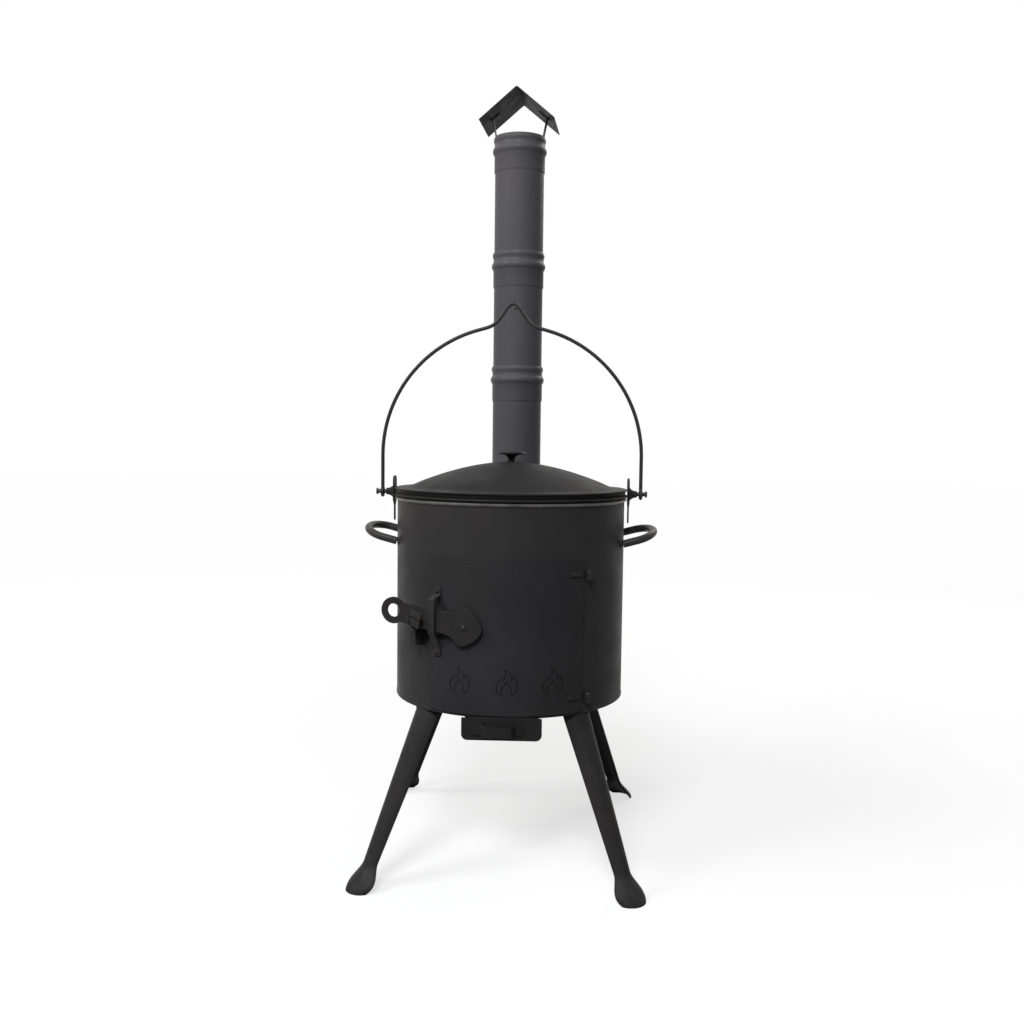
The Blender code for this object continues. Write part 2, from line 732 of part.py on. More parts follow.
def latch_washer():
    """Spacer between the door and the bar."""
    bore = clear_radius(RIVET_RADIUS, ROD_FACETS)
    washer = ring("latch_washer", bore, WASHER_RADIUS, GAP, LATCH_STANDOFF - GAP, ROD_FACETS)
    return place(washer, on_wall(LATCH_ANGLE, DOOR_OUTER, LATCH_Z), wall_facing(LATCH_ANGLE))


def guide_path():
    """Middle line of the guide strap: distance from the body's axis, and height."""
    on_door = DOOR_OUTER + GAP + GUIDE_THICKNESS / 2
    bow = LATCH_OUTER / math.cos(GUIDE_ANGLE - LATCH_ANGLE) + GUIDE_CLEARANCE + GUIDE_THICKNESS / 2
    low, high = LATCH_Z - GUIDE_BELOW_RIVET, LATCH_Z + GUIDE_ABOVE_RIVET
    low_end, high_end = low - GUIDE_LOWER_SLOPE, high + GUIDE_UPPER_SLOPE
    return [
        (on_door, low_end - GUIDE_TAB), (on_door, low_end), (bow, low),
        (bow, high), (on_door, high_end), (on_door, high_end + GUIDE_TAB),
    ]


def guide_rivet_heights():
    """Heights of the two rivets, in the middle of the strap's tabs."""
    path = guide_path()
    return [(a[1] + b[1]) / 2 for a, b in (path[:2], path[-2:])]


def latch_guide():
    """The strap that the bar slides behind."""
    strap = folded_sheet("latch_guide", guide_path(), GUIDE_WIDTH, GUIDE_THICKNESS)
    place(strap, rotation=(0, 0, GUIDE_ANGLE - math.pi / 2))
    for number, z in enumerate(guide_rivet_heights()):
        cut(strap, wall_bore(f"tool_strap_bore_{number}", GUIDE_ANGLE, z, SMALL_RIVET_RADIUS, FASTENER_FACETS))
    return strap


def guide_rivet(end, z):
    """A small rivet through one of the strap's tabs and the door."""
    top = GAP + GUIDE_THICKNESS + GAP
    bottom = behind_door(SMALL_RIVET_HEAD_RADIUS) - DOOR_OUTER
    section = rivet_section(SMALL_RIVET_RADIUS, SMALL_RIVET_HEAD_RADIUS, SMALL_RIVET_HEAD_HEIGHT, bottom, top)
    rivet = turned("guide_rivet_" + end, section, FASTENER_FACETS)
    return place(rivet, on_wall(GUIDE_ANGLE, DOOR_OUTER, z), wall_facing(GUIDE_ANGLE))


def latch_keeper():
    """A hook plate, edge on to the wall: a ledge under the bar, a nose before it and a ramp back to the wall."""
    turn = LATCH_ANGLE - KEEPER_ANGLE
    spread = KEEPER_THICKNESS / 2 * math.sin(turn)
    slot_in = (LATCH_INNER - spread) / math.cos(turn) - GAP
    slot_out = (LATCH_OUTER + spread) / math.cos(turn) + GAP
    along = LATCH_INNER * math.tan(turn) - KEEPER_THICKNESS / 2 / math.cos(turn)
    half_width = latch_half_width(along / math.cos(LATCH_TILT))
    ledge = LATCH_Z + along * math.tan(LATCH_TILT) - half_width / math.cos(LATCH_TILT) - GAP
    wall = BODY_RADIUS + GAP
    leg = BODY_RADIUS + KEEPER_LEG
    foot = ledge - KEEPER_DROP
    nose = slot_out + KEEPER_NOSE
    outline = [
        (wall, foot), (leg - KEEPER_THICKNESS, foot), (leg, foot + KEEPER_THICKNESS), (leg, ledge - KEEPER_LEG_TOP),
        (nose, ledge + KEEPER_NOSE_FOOT), (nose - KEEPER_NOSE / 4, ledge + KEEPER_NOSE_RISE),
        (slot_out, ledge + KEEPER_NOSE_RISE), (slot_out, ledge), (slot_in, ledge),
        (wall, ledge - (slot_in - wall) * math.tan(KEEPER_RAMP)),
    ]
    keeper = plate("latch_keeper", [outline], KEEPER_THICKNESS)
    return place(keeper, rotation=wall_edge_on(KEEPER_ANGLE))


# Ash drawer

def ash_tray():
    """An open box of folded sheet."""
    bm = bmesh.new()
    low = Vector((-TRAY_WIDTH / 2, 0, TRAY_BOTTOM))
    high = Vector((TRAY_WIDTH / 2, TRAY_LENGTH, TRAY_TOP))
    matrix = Matrix.Translation((low + high) / 2) @ Matrix.Diagonal((*(high - low), 1))
    bmesh.ops.create_cube(bm, size=1, matrix=matrix)
    lid = [face for face in bm.faces if face.normal.z > 1 / 2]
    bmesh.ops.delete(bm, geom=lid, context="FACES")
    tray = from_bmesh("ash_tray", bm)
    solidify(tray, DRAWER_SHEET, -1)
    return place(as_mesh(tray), (DRAWER_OFFSET, DRAWER_FACE_Y + GAP, 0))


def ash_front():
    """The drawer's front, with round lower corners."""
    half = DRAWER_FRONT_WIDTH / 2
    corner = DRAWER_FRONT_CORNER
    left = arc((-half + corner, DRAWER_FRONT_BOTTOM + corner), corner, math.pi, math.pi * 3 / 2, 4)
    right = arc((half - corner, DRAWER_FRONT_BOTTOM + corner), corner, -math.pi / 2, 0, 4)
    outline = left + right + [(half, DRAWER_FRONT_TOP), (-half, DRAWER_FRONT_TOP)]
    front = plate("ash_front", [outline], DRAWER_SHEET)
    return place(front, (DRAWER_OFFSET, DRAWER_FACE_Y - DRAWER_SHEET / 2, 0), (math.pi / 2, 0, 0))


def ash_pull():
    """A bent strap to pull the drawer by."""
    half = PULL_WIDTH / 2
    foot = -DRAWER_SHEET / 2
    side = [(half + PULL_TAB, foot), (half, foot), (half - PULL_SPLAY, -PULL_DEPTH)]
    path = [(-x, y) for x, y in side] + side[::-1]
    pull = folded_sheet("ash_pull", path, PULL_HEIGHT, DRAWER_SHEET)
    z = (DRAWER_FRONT_BOTTOM + DRAWER_FRONT_TOP - DRAWER_FRONT_LAP) / 2
    return place(pull, (DRAWER_OFFSET + PULL_OFFSET, DRAWER_FACE_Y - DRAWER_SHEET - GAP, z), (-math.pi / 2, 0, 0))


def drawer_rail(side, sign):
    """An angle strip that carries one edge of the tray."""
    web = TRAY_WIDTH / 2 + GAP + DRAWER_SHEET / 2
    low = TRAY_BOTTOM - GAP - DRAWER_SHEET / 2
    path = [(sign * web, BODY_BOTTOM - GAP), (sign * web, low), (sign * (web - RAIL_FLANGE), low)]
    rail = folded_sheet("drawer_rail_" + side, path, TRAY_LENGTH - 2 * DRAWER_SHEET, DRAWER_SHEET)
    return place(rail, (DRAWER_OFFSET, DRAWER_FACE_Y + TRAY_LENGTH / 2 + GAP, 0))


# Legs and side handles

def leg_angles():
    """Where the four legs stand."""
    return {
        "front_left": LEG_FRONT_LEFT_ANGLE, "front_right": LEG_FRONT_RIGHT_ANGLE,
        "rear_left": LEG_REAR_LEFT_ANGLE, "rear_right": LEG_REAR_RIGHT_ANGLE,
    }


def ease(share):
    """A smooth step from 0 to 1."""
    share = min(max(share, 0), 1)
    return share * share * (3 - 2 * share)


def leg_stations():
    """Down the leg: height, distance of its outer face from the body's axis, and width."""
    stations = []
    drop = BODY_BOTTOM - FOOT_HEIGHT
    lean = LEG_SPLAY / BODY_BOTTOM
    for share in LEG_STATION_shares:
        z = FOOT_HEIGHT + drop * share
        stations.append((z, LEG_ANKLE_WIDTH + (LEG_TOP_WIDTH - LEG_ANKLE_WIDTH) * share, 0))
    for share in FOOT_STATION_shares:
        flare = ease(1 - share) if share > 0 else 1
        width = LEG_ANKLE_WIDTH + (LEG_FOOT_WIDTH - LEG_ANKLE_WIDTH) * ease((1 - share) * 4 / 3)
        toe = 1 - (1 - FOOT_TOE_share) * max(0, 1 - share * 4) ** 2
        stations.append((FOOT_HEIGHT * share, width * toe, FOOT_KICK * flare))
    return [(z, LEG_FOOT_RADIUS - lean * z + kick, width) for z, width, kick in stations]


def leg(name, angle, ground, bolt_tool):
    """A tapered channel, convex outwards, that flares to a foot, with a tab bolted under the pan."""
    stations = leg_stations()
    bm = bmesh.new()
    bmesh.ops.create_grid(bm, x_segments=LEG_COLUMNS, y_segments=len(stations) - 1, size=1)
    for vert in bm.verts:
        across = vert.co.x
        row = round((1 - vert.co.y) / 2 * (len(stations) - 1))
        z, radius, width = stations[row]
        turn = across * LEG_WRAP
        depth = width * LEG_CROWN_share * (1 - math.cos(turn)) / (1 - math.cos(LEG_WRAP))
        vert.co = (width / 2 * math.sin(turn) / math.sin(LEG_WRAP), -radius + depth, z)
    bmesh.ops.recalc_face_normals(bm, faces=bm.faces)
    channel = from_bmesh("leg_" + name, bm)
    solidify(channel, LEG_THICKNESS, leg_wall_side(channel))
    channel = place(as_mesh(channel), rotation=(0, 0, angle))
    top = BODY_BOTTOM - GAP
    far = LEG_TOP_RADIUS - LEG_THICKNESS / 2
    half = LEG_TAB_WIDTH / 2
    tab = block("tool_tab_" + name, (-half, -far, top - LEG_THICKNESS), (half, LEG_TAB_LENGTH - far, top))
    fuse(channel, place(tab, rotation=(0, 0, angle)))
    cut(channel, *ground, bolt_tool)
    return channel


def leg_wall_side(channel):
    """Solidify offset that thickens the leg away from its outer face."""
    middle = min(channel.data.polygons, key=lambda face: abs(face.center.x))
    return -1 if middle.normal.y < 0 else 1


def ground_tools():
    """Blocks that trim the legs to the floor and to the pan's underside."""
    reach = LEG_FOOT_RADIUS + FOOT_KICK + OVERRUN
    floor = block("tool_floor", (-reach, -reach, -OVERRUN), (reach, reach, 0))
    ceiling = block("tool_ceiling", (-reach, -reach, BODY_BOTTOM - GAP), (reach, reach, BODY_BOTTOM + OVERRUN))
    return floor, ceiling


def leg_bolt(name, angle):
    """A bolt and its nut, through a leg's tab and the pan."""
    low = BODY_BOTTOM - GAP - LEG_THICKNESS - GAP
    high = PAN_TOP + GAP
    head = LEG_BOLT_HEAD_RADIUS
    section = [
        (0, high + LEG_BOLT_HEAD_HEIGHT), (head, high + LEG_BOLT_HEAD_HEIGHT), (head, high), (LEG_BOLT_RADIUS, high),
        (LEG_BOLT_RADIUS, low), (head, low), (head, low - LEG_BOLT_HEAD_HEIGHT), (0, low - LEG_BOLT_HEAD_HEIGHT),
    ]
    bolt = turned("leg_bolt_" + name, section, FASTENER_FACETS)
    return place(bolt, on_wall(angle, LEG_BOLT_R, 0), (0, 0, angle))


def side_handle(side, sign):
    """A round bar bent to a loop, tilted up, its ends cut to the wall."""
    start = BODY_RADIUS - OVERRUN
    end = (BODY_RADIUS + HANDLE_REACH - HANDLE_BAR_RADIUS - start) / math.cos(HANDLE_TILT)
    straight = end * HANDLE_STRAIGHT_share + OVERRUN
    loop = [(0, -HANDLE_HALF_SPREAD)]
    for step in range(HANDLE_STEPS + 1):
        turn = math.pi * step / HANDLE_STEPS
        along = straight + (end - straight) * math.sin(turn)
        loop.append((along, -HANDLE_HALF_SPREAD * math.cos(turn)))
    loop.append((0, HANDLE_HALF_SPREAD))
    path = []
    for along, y in loop:
        x = start + along * math.cos(HANDLE_TILT)
        z = BODY_TOP - HANDLE_BELOW_RIM + (along - OVERRUN) * math.sin(HANDLE_TILT)
        path.append((sign * x, y, z))
    handle = bar("side_handle_" + side, path, HANDLE_BAR_RADIUS)
    body = rod("tool_body_" + side, BODY_RADIUS + GAP, BODY_HEIGHT, BODY_FACETS)
    cut(handle, place(body, (0, 0, BODY_BOTTOM)))
    return handle


# Pot, lid and bail

def bowl(radius, bottom, steps, rim):
    """Half an ellipse from the axis up to the rim."""
    turns = [math.pi / 2 * i / steps for i in range(steps + 1)]
    return [(radius * math.sin(a), rim - (rim - bottom) * math.cos(a)) for a in turns]


def pot():
    """The cauldron, with the flange that it hangs by."""
    inner = bowl(POT_RADIUS - POT_WALL, FLANGE_BOTTOM - POT_DEPTH + POT_WALL, POT_STEPS, FLANGE_BOTTOM)
    outer = bowl(POT_RADIUS, FLANGE_BOTTOM - POT_DEPTH, POT_STEPS, FLANGE_BOTTOM)
    rim = [(POT_RADIUS - POT_WALL, FLANGE_TOP), (FLANGE_RADIUS, FLANGE_TOP), (FLANGE_RADIUS, FLANGE_BOTTOM)]
    section = inner + rim + outer[::-1]
    return turned("pot", section, POT_FACETS)


def lid_height(radius):
    """Height of the lid's upper face."""
    share = radius / LID_RADIUS
    return LID_EDGE_TOP + LID_RISE * max(0, 1 - share ** 2) ** LID_DOME_POWER


def lid():
    """A domed lid with an upright edge, and a lip that drops into the pot."""
    bore = clear_radius(KNOB_SCREW_RADIUS, FASTENER_FACETS)
    steps = [i / LID_STEPS for i in range(LID_STEPS)]
    top = [(bore + (LID_RADIUS - bore) * s, lid_height(LID_RADIUS * s)) for s in steps]
    lip_out = POT_RADIUS - POT_WALL - LID_LIP_CLEARANCE
    lip_in = lip_out - LID_WALL
    under = [(bore + (lip_in - bore) * s, lid_height(lip_in * s) - LID_WALL) for s in steps]
    edge = [
        (LID_RADIUS, LID_EDGE_TOP), (LID_RADIUS, LID_BOTTOM), (lip_out, LID_BOTTOM),
        (lip_out, LID_BOTTOM - LID_LIP_DEPTH), (lip_in, LID_BOTTOM - LID_LIP_DEPTH),
    ]
    return turned("lid", top + edge + under[::-1], POT_FACETS, closed=True)


def lid_knob():
    """A dished disc on a flared stem, bored from below."""
    base = LID_TOP + GAP
    top = base + KNOB_HEIGHT
    under = top - KNOB_THICKNESS
    bore = clear_radius(KNOB_SCREW_RADIUS, FASTENER_FACETS)
    section = [
        (0, top - KNOB_DISH), (KNOB_RADIUS / 2, top - KNOB_DISH), (KNOB_RADIUS * 3 / 4, top), (KNOB_RADIUS, top),
        (KNOB_RADIUS, under + KNOB_THICKNESS / 4), (KNOB_RADIUS - KNOB_THICKNESS / 4, under),
        (KNOB_FLARE_RADIUS, under), (KNOB_STEM_RADIUS, under - KNOB_FLARE_HEIGHT), (KNOB_STEM_RADIUS, base),
        (bore, base), (bore, base + KNOB_BORE_DEPTH + GAP), (0, base + KNOB_BORE_DEPTH + GAP),
    ]
    return turned("lid_knob", section, ROD_FACETS)


def knob_screw():
    """Holds the knob from under the lid."""
    seat = LID_TOP - LID_WALL - GAP
    section = [
        (0, LID_TOP + KNOB_BORE_DEPTH), (KNOB_SCREW_RADIUS, LID_TOP + KNOB_BORE_DEPTH), (KNOB_SCREW_RADIUS, seat),
        (KNOB_SCREW_HEAD_RADIUS, seat), (KNOB_SCREW_HEAD_RADIUS, seat - KNOB_SCREW_HEAD_HEIGHT),
        (0, seat - KNOB_SCREW_HEAD_HEIGHT),
    ]
    return turned("knob_screw", section, FASTENER_FACETS)


def ear(side, sign):
    """Plate on the flange's edge: a prong beside the lid, a tail beside the body, and a flared boss."""
    half, tail = EAR_WIDTH / 2, EAR_TAIL_WIDTH / 2
    top, shoulder = FLANGE_TOP + EAR_PRONG, FLANGE_BOTTOM - EAR_SHOULDER
    right = [(tail, FLANGE_BOTTOM - EAR_TAIL), (tail, shoulder - EAR_SHOULDER), (half, shoulder)]
    right += arc((half - EAR_CORNER, top - EAR_CORNER), EAR_CORNER, 0, math.pi / 2, 5)
    outline = right + [(-y, z) for y, z in reversed(right)]
    body = plate("ear_" + side, [outline], EAR_THICKNESS)
    place(body, (sign * (EAR_INNER + EAR_OUTER) / 2, 0, 0), (math.pi / 2, 0, math.pi / 2))
    root = EAR_THICKNESS / 2
    flare = [
        (BOSS_RADIUS + (BOSS_FLARE_RADIUS - BOSS_RADIUS) * (1 - math.sin(a)), BOSS_FLARE_LENGTH * (1 - math.cos(a)))
        for a in (math.pi / 2, math.pi / 3, math.pi / 6, 0)
    ]
    section = [(0, BOSS_LENGTH + root), (BOSS_RADIUS, BOSS_LENGTH + root)]
    section += [(r, root + z) for r, z in flare] + [(BOSS_FLARE_RADIUS, 0), (0, 0)]
    boss = turned("tool_boss_" + side, section, ROD_FACETS)
    fuse(body, place(boss, (sign * (EAR_OUTER - root), 0, PIN_Z), (0, sign * math.pi / 2, 0)))
    return body


def bail_pin(side, sign):
    """Headed pin on the end of the boss."""
    section = [
        (0, BAIL_PIN_LENGTH + BAIL_PIN_HEAD), (BAIL_PIN_HEAD_RADIUS, BAIL_PIN_LENGTH + BAIL_PIN_HEAD),
        (BAIL_PIN_HEAD_RADIUS, BAIL_PIN_LENGTH), (BAIL_PIN_RADIUS, BAIL_PIN_LENGTH), (BAIL_PIN_RADIUS, 0), (0, 0),
    ]
    pin = turned("bail_pin_" + side, section, ROD_FACETS)
    return place(pin, (sign * (BOSS_END + GAP), 0, PIN_Z), (0, sign * math.pi / 2, 0))


def bail_path():
    """The wire's middle line: two straight legs, a round arch and a hump at its top."""
    low_turn = math.acos(BAIL_HUMP_HALF / BAIL_RADIUS)
    right = [low_turn * i / BAIL_ARCH_STEPS for i in range(BAIL_ARCH_STEPS)]
    xs = [BAIL_RADIUS * math.cos(turn) for turn in right]
    xs += [BAIL_HUMP_HALF * (1 - 2 * i / BAIL_HUMP_STEPS) for i in range(BAIL_HUMP_STEPS + 1)]
    xs += [-BAIL_RADIUS * math.cos(turn) for turn in reversed(right)]
    arch = []
    for x in xs:
        rise = math.sqrt(max(0, BAIL_RADIUS ** 2 - x ** 2))
        hump = BAIL_HUMP_HEIGHT * math.exp(-(x / BAIL_HUMP_SPREAD) ** 2)
        arch.append((x, 0, BAIL_LEG + rise + hump))
    foot = (EYE_RADIUS + BAIL_PIN_RADIUS) / 2
    return [(BAIL_RADIUS, 0, foot)] + arch + [(-BAIL_RADIUS, 0, foot)]


def bail():
    """The carrying handle, an eye at each end."""
    wire = bar("bail", bail_path(), BAIL_WIRE_RADIUS)
    for side, sign in SIDES.items():
        eye = rod("tool_eye_" + side, EYE_RADIUS, EYE_LENGTH)
        fuse(wire, place(eye, (sign * BAIL_RADIUS - EYE_LENGTH / 2, 0, 0), (0, math.pi / 2, 0)))
    for side, sign in SIDES.items():
        bore = rod("tool_eye_bore_" + side, clear_radius(BAIL_PIN_RADIUS, ROD_FACETS), EYE_LENGTH + 2 * OVERRUN)
        cut(wire, place(bore, (sign * BAIL_RADIUS - EYE_LENGTH / 2 - OVERRUN, 0, 0), (0, math.pi / 2, 0)))
    for step in wire.modifiers:
        adopt(wire, [step.object])
    return place(wire, (0, 0, PIN_Z))


# Flue and chimney

def swelling(radius, top, drop, height, swell, steps):
    """Points down a rounded swelling on a pipe."""
    points = []
    for i in range(steps + 1):
        share = i / steps
        points.append((radius + swell * math.sin(math.pi * share), top - drop - height * (share - 1 / 2)))
    return points


def pipe_section(bottom, top, insertion=0):
    """Closed half section of a pipe whose upper end is a socket with a lip and a bead."""
    lip = swelling(SOCKET_RADIUS, top, LIP_HEIGHT / 2, LIP_HEIGHT, LIP_SWELL, 2)
    bead = swelling(SOCKET_RADIUS, top, BEAD_DROP, BEAD_HEIGHT, BEAD_SWELL, 4)
    step_top = top - SOCKET_DEPTH
    outer = lip + bead + [(SOCKET_RADIUS, step_top), (PIPE_RADIUS, step_top - SOCKET_STEP), (PIPE_RADIUS, bottom)]
    bore = SOCKET_RADIUS - PIPE_WALL
    inner = [(PIPE_RADIUS - PIPE_WALL, bottom), (PIPE_RADIUS - PIPE_WALL, step_top - SOCKET_STEP), (bore, step_top)]
    inner += swelling(bore, top, BEAD_DROP, BEAD_HEIGHT, BEAD_SWELL, 2)[::-1] + [(bore, top)]
    return outer + inner


def chimney_pipe(number, name):
    """One section, its lower end in the socket below."""
    lip = STUB_LIP + (number + 1) * PIPE_PITCH
    pipe = turned(name, pipe_section(lip - PIPE_PITCH - PIPE_INSERTION, lip), PIPE_FACETS, closed=True)
    return place(pipe, (0, FLUE_Y, 0))


def flue_stub():
    """The socket that the lowest section stands in."""
    bottom = STUB_LIP - SOCKET_DEPTH - SOCKET_STEP - STUB_NECK
    stub = turned("flue_stub", pipe_section(bottom, STUB_LIP), PIPE_FACETS, closed=True)
    return place(stub, (0, FLUE_Y, 0))


def flue_elbow():
    """A pipe out of the back of the body that bends up to the stub."""
    start = BODY_RADIUS - FLUE_INTRUSION
    end = STUB_LIP - SOCKET_DEPTH - SOCKET_STEP - STUB_NECK - GAP
    bend = arc((FLUE_Y - FLUE_BEND_RADIUS, FLUE_Z + FLUE_BEND_RADIUS), FLUE_BEND_RADIUS, -math.pi / 2, 0, FLUE_BEND_STEPS)
    path = [(0, start, FLUE_Z)] + [(0, y, z) for y, z in bend] + [(0, FLUE_Y, end)]
    elbow = bar("flue_elbow", path, PIPE_RADIUS, resolution=(PIPE_FACETS - 4) // 2, capped=False)
    solidify(elbow, PIPE_WALL, -1)
    return as_mesh(elbow)


def flue_collar():
    """A plate, curved to the wall, round the flue."""
    reach = PIPE_RADIUS + COLLAR_WIDTH
    inner = BODY_RADIUS + GAP
    collar = ring("flue_collar", inner, inner + COLLAR_THICKNESS, FLUE_Z - reach - OVERRUN, FLUE_Z + reach + OVERRUN)
    boolean(collar, flue_tool("tool_collar", reach), "INTERSECT")
    cut(collar, flue_tool("tool_collar_hole", clear_radius(PIPE_RADIUS, PIPE_FACETS)))
    return collar


# Chimney cap, about its own axis at the top pipe's lip

def under_wing(x, below=0.0):
    """Height under a wing at a distance from the ridge, less a thickness of what lies against it."""
    return CAP_RISE - x * math.tan(CAP_SLOPE) - (CAP_SHEET / 2 + below) / math.cos(CAP_SLOPE)


def rivet_on_wing(sign):
    """Place of a rivet through a wing and its strap."""
    x = strap_top_x() - STRAP_FOOT / 2 * math.cos(CAP_SLOPE)
    middle = Vector((sign * x, 0, CAP_RISE - x * math.tan(CAP_SLOPE)))
    return Matrix.Translation(middle) @ Matrix.Rotation(sign * CAP_SLOPE, 4, "Y")


def strap_leg_x():
    """Distance of a strap's leg from the axis, against the pipe's bore."""
    bore = SOCKET_RADIUS - PIPE_WALL
    return math.sqrt(bore ** 2 - (STRAP_WIDTH / 2) ** 2) - 2 * GAP - STRAP_SHEET / 2


def strap_top_x():
    """Distance of a strap's upper bend from the axis."""
    return strap_leg_x() + STRAP_LEAN


def wing_bores(name):
    """Bores for the two rivets."""
    tools = []
    for side, sign in SIDES.items():
        tool = rod(f"tool_{name}_{side}", clear_radius(SMALL_RIVET_RADIUS, FASTENER_FACETS), OVERRUN, FASTENER_FACETS)
        tool.data.transform(rivet_on_wing(sign) @ Matrix.Translation((0, 0, -OVERRUN / 2)))
        tools.append(tool)
    return tools


def cap_roof():
    """A plate folded to a gable."""
    drop = CAP_HALF_SPAN * math.tan(CAP_SLOPE)
    path = [(-CAP_HALF_SPAN, CAP_RISE - drop), (0, CAP_RISE), (CAP_HALF_SPAN, CAP_RISE - drop)]
    roof = folded_sheet("cap_roof", path, CAP_LENGTH, CAP_SHEET)
    cut(roof, *wing_bores("roof_bore"))
    return roof


def cap_strap(side, sign):
    """Flat bar from inside the pipe's mouth up to a wing, with a foot along the wing."""
    leg, bend = strap_leg_x(), strap_top_x()
    foot = bend - STRAP_FOOT * math.cos(CAP_SLOPE)
    below = GAP + STRAP_SHEET / 2
    path = [(leg, -STRAP_LEG), (leg, 0), (bend, under_wing(bend, below)), (foot, under_wing(foot, below))]
    strap = folded_sheet("cap_strap_" + side, [(sign * x, z) for x, z in path], STRAP_WIDTH, STRAP_SHEET)
    cut(strap, *wing_bores("strap_bore_" + side))
    return strap


def cap_rivet(side, sign):
    """A rivet that holds a strap to its wing."""
    top = CAP_SHEET / 2 + GAP
    bottom = -top - GAP - STRAP_SHEET
    section = rivet_section(SMALL_RIVET_RADIUS, SMALL_RIVET_HEAD_RADIUS, SMALL_RIVET_HEAD_HEIGHT, bottom, top)
    rivet = turned("cap_rivet_" + side, section, FASTENER_FACETS)
    rivet.matrix_world = rivet_on_wing(sign)
    return rivet


# Assembly

def build_body(root):
    """Everything that stands still."""
    bolt_tools = leg_bolt_tools()
    ground = ground_tools()
    legs = [leg(name, angle, ground, tool) for (name, angle), tool in zip(leg_angles().items(), bolt_tools)]
    walls = [body_shell(), bottom_pan(bolt_tools), fire_grate()]
    flue = [flue_elbow(), flue_collar(), flue_stub()]
    handles = [side_handle(side, sign) for side, sign in SIDES.items()]
    rails = [drawer_rail(side, sign) for side, sign in SIDES.items()]
    hinges = [make(name, z) for make in (shell_knuckle, hinge_pin) for name, z in hinge_heights().items()]
    paint(walls[:1], (0.033, 0.032, 0.034), 0.46, 0.35)
    paint(walls[1:], (0.026, 0.025, 0.025), 0.62, 0.40)
    paint(flue, (0.040, 0.040, 0.046), 0.42, 0.45)
    paint(legs, (0.045, 0.045, 0.048), 0.40, 0.35)
    bolts = [leg_bolt(name, angle) for name, angle in leg_angles().items()]
    paint(bolts + hinges, (0.030, 0.030, 0.032), 0.45, 0.60)
    paint(handles + rails + [latch_keeper()], (0.028, 0.028, 0.029), 0.45, 0.40)
    adopt(root, [part for part in PARTS.objects if part.parent is None and part is not root])


def build_door(root):
    """The door and the latch that turns on it."""
    axis = empty("pivot_door", on_wall(HINGE_ANGLE, HINGE_AXIS_RADIUS, DOOR_MIDDLE), root)
    pivot = empty("pivot_latch", on_wall(LATCH_ANGLE, (LATCH_INNER + LATCH_OUTER) / 2, LATCH_Z), axis)
    knuckles = [door_knuckle(name, z) for name, z in hinge_heights().items()]
    rivets = [guide_rivet(end, z) for end, z in zip(("lower", "upper"), guide_rivet_heights())]
    fittings = [latch_washer(), latch_rivet(), latch_guide()] + rivets
    door = paint([door_panel()], (0.032, 0.031, 0.033), 0.44, 0.35)
    paint(knuckles + fittings, (0.026, 0.026, 0.027), 0.45, 0.45)
    adopt(axis, door + knuckles + fittings)
    adopt(pivot, paint([latch_bar()], (0.036, 0.035, 0.037), 0.42, 0.40))


def build_drawer(root):
    """The ash drawer."""
    pivot = empty("pivot_drawer", (DRAWER_OFFSET, DRAWER_FACE_Y, TRAY_BOTTOM), root)
    adopt(pivot, paint([ash_tray(), ash_front(), ash_pull()], (0.038, 0.037, 0.040), 0.44, 0.35))


def build_pot(root):
    """The pot with its ears, the bail on them and the lid on top."""
    seat = empty("pivot_pot", (0, 0, FLANGE_BOTTOM), root)
    cover = empty("pivot_lid", (0, 0, LID_BOTTOM), seat)
    body = paint([pot()], (0.030, 0.030, 0.031), 0.55, 0.50)
    ears = [make(side, sign) for make in (ear, bail_pin) for side, sign in SIDES.items()]
    adopt(seat, body + paint(ears, (0.028, 0.028, 0.030), 0.45, 0.45))
    adopt(seat, paint([bail()], (0.030, 0.030, 0.032), 0.40, 0.50))
    adopt(cover, paint([lid(), lid_knob(), knob_screw()], (0.036, 0.036, 0.038), 0.42, 0.35))


def build_chimney(root):
    """Three sections, each standing in the one below, and the cap."""
    below = root
    for number, name in enumerate(PIPE_SECTIONS):
        pivot = empty("pivot_" + name, (0, FLUE_Y, STUB_LIP + number * PIPE_PITCH), below)
        adopt(pivot, paint([chimney_pipe(number, name)], (0.046, 0.045, 0.053), 0.40, 0.45))
        below = pivot
    parts = [cap_roof()] + [make(side, sign) for make in (cap_strap, cap_rivet) for side, sign in SIDES.items()]
    tools = [step.object for part in parts for step in part.modifiers]
    pivot = empty("pivot_cap", (0, 0, 0))
    adopt(pivot, paint(parts, (0.030, 0.030, 0.033), 0.48, 0.45) + tools)
    place(pivot, (0, FLUE_Y, TOP_LIP), (0, 0, CAP_TURN))
    adopt(below, [pivot])


def centre_on_origin(root):
    """Move the whole stove along Y so that its bounding box stands over the origin."""
    bpy.context.view_layer.update()
    ys = []
    for part in PARTS.objects:
        if part.type == "MESH":
            evaluated = part.evaluated_get(bpy.context.evaluated_depsgraph_get())
            ys += [(evaluated.matrix_world @ Vector(corner)).y for corner in evaluated.bound_box]
    root.location.y = -(min(ys) + max(ys)) / 2


def main():
    """Build the stove."""
    root = empty("stove", (0, 0, 0))
    build_body(root)
    build_door(root)
    build_drawer(root)
    build_pot(root)
    build_chimney(root)
    adopt(root, [tool for tool in CUTTERS.objects if tool.parent is None])
    centre_on_origin(root)


SIDES = {"left": -1, "right": 1}
clear_scene()
PARTS = collection("cauldron_stove")
CUTTERS = collection("cutters")
main()
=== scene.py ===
# %% [markdown]
# # A cauldron stove, dressed for a photograph
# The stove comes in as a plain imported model: every solid is in its real place, with flat facets. This
# lesson adds a camera, a white room, paint, and finer pieces where the plain ones show their facets.
# Everything is in metres, with Z up and the door towards -Y.

import json
from math import acos, asin, cos, exp, pi, radians, sin, sqrt, tan, tau

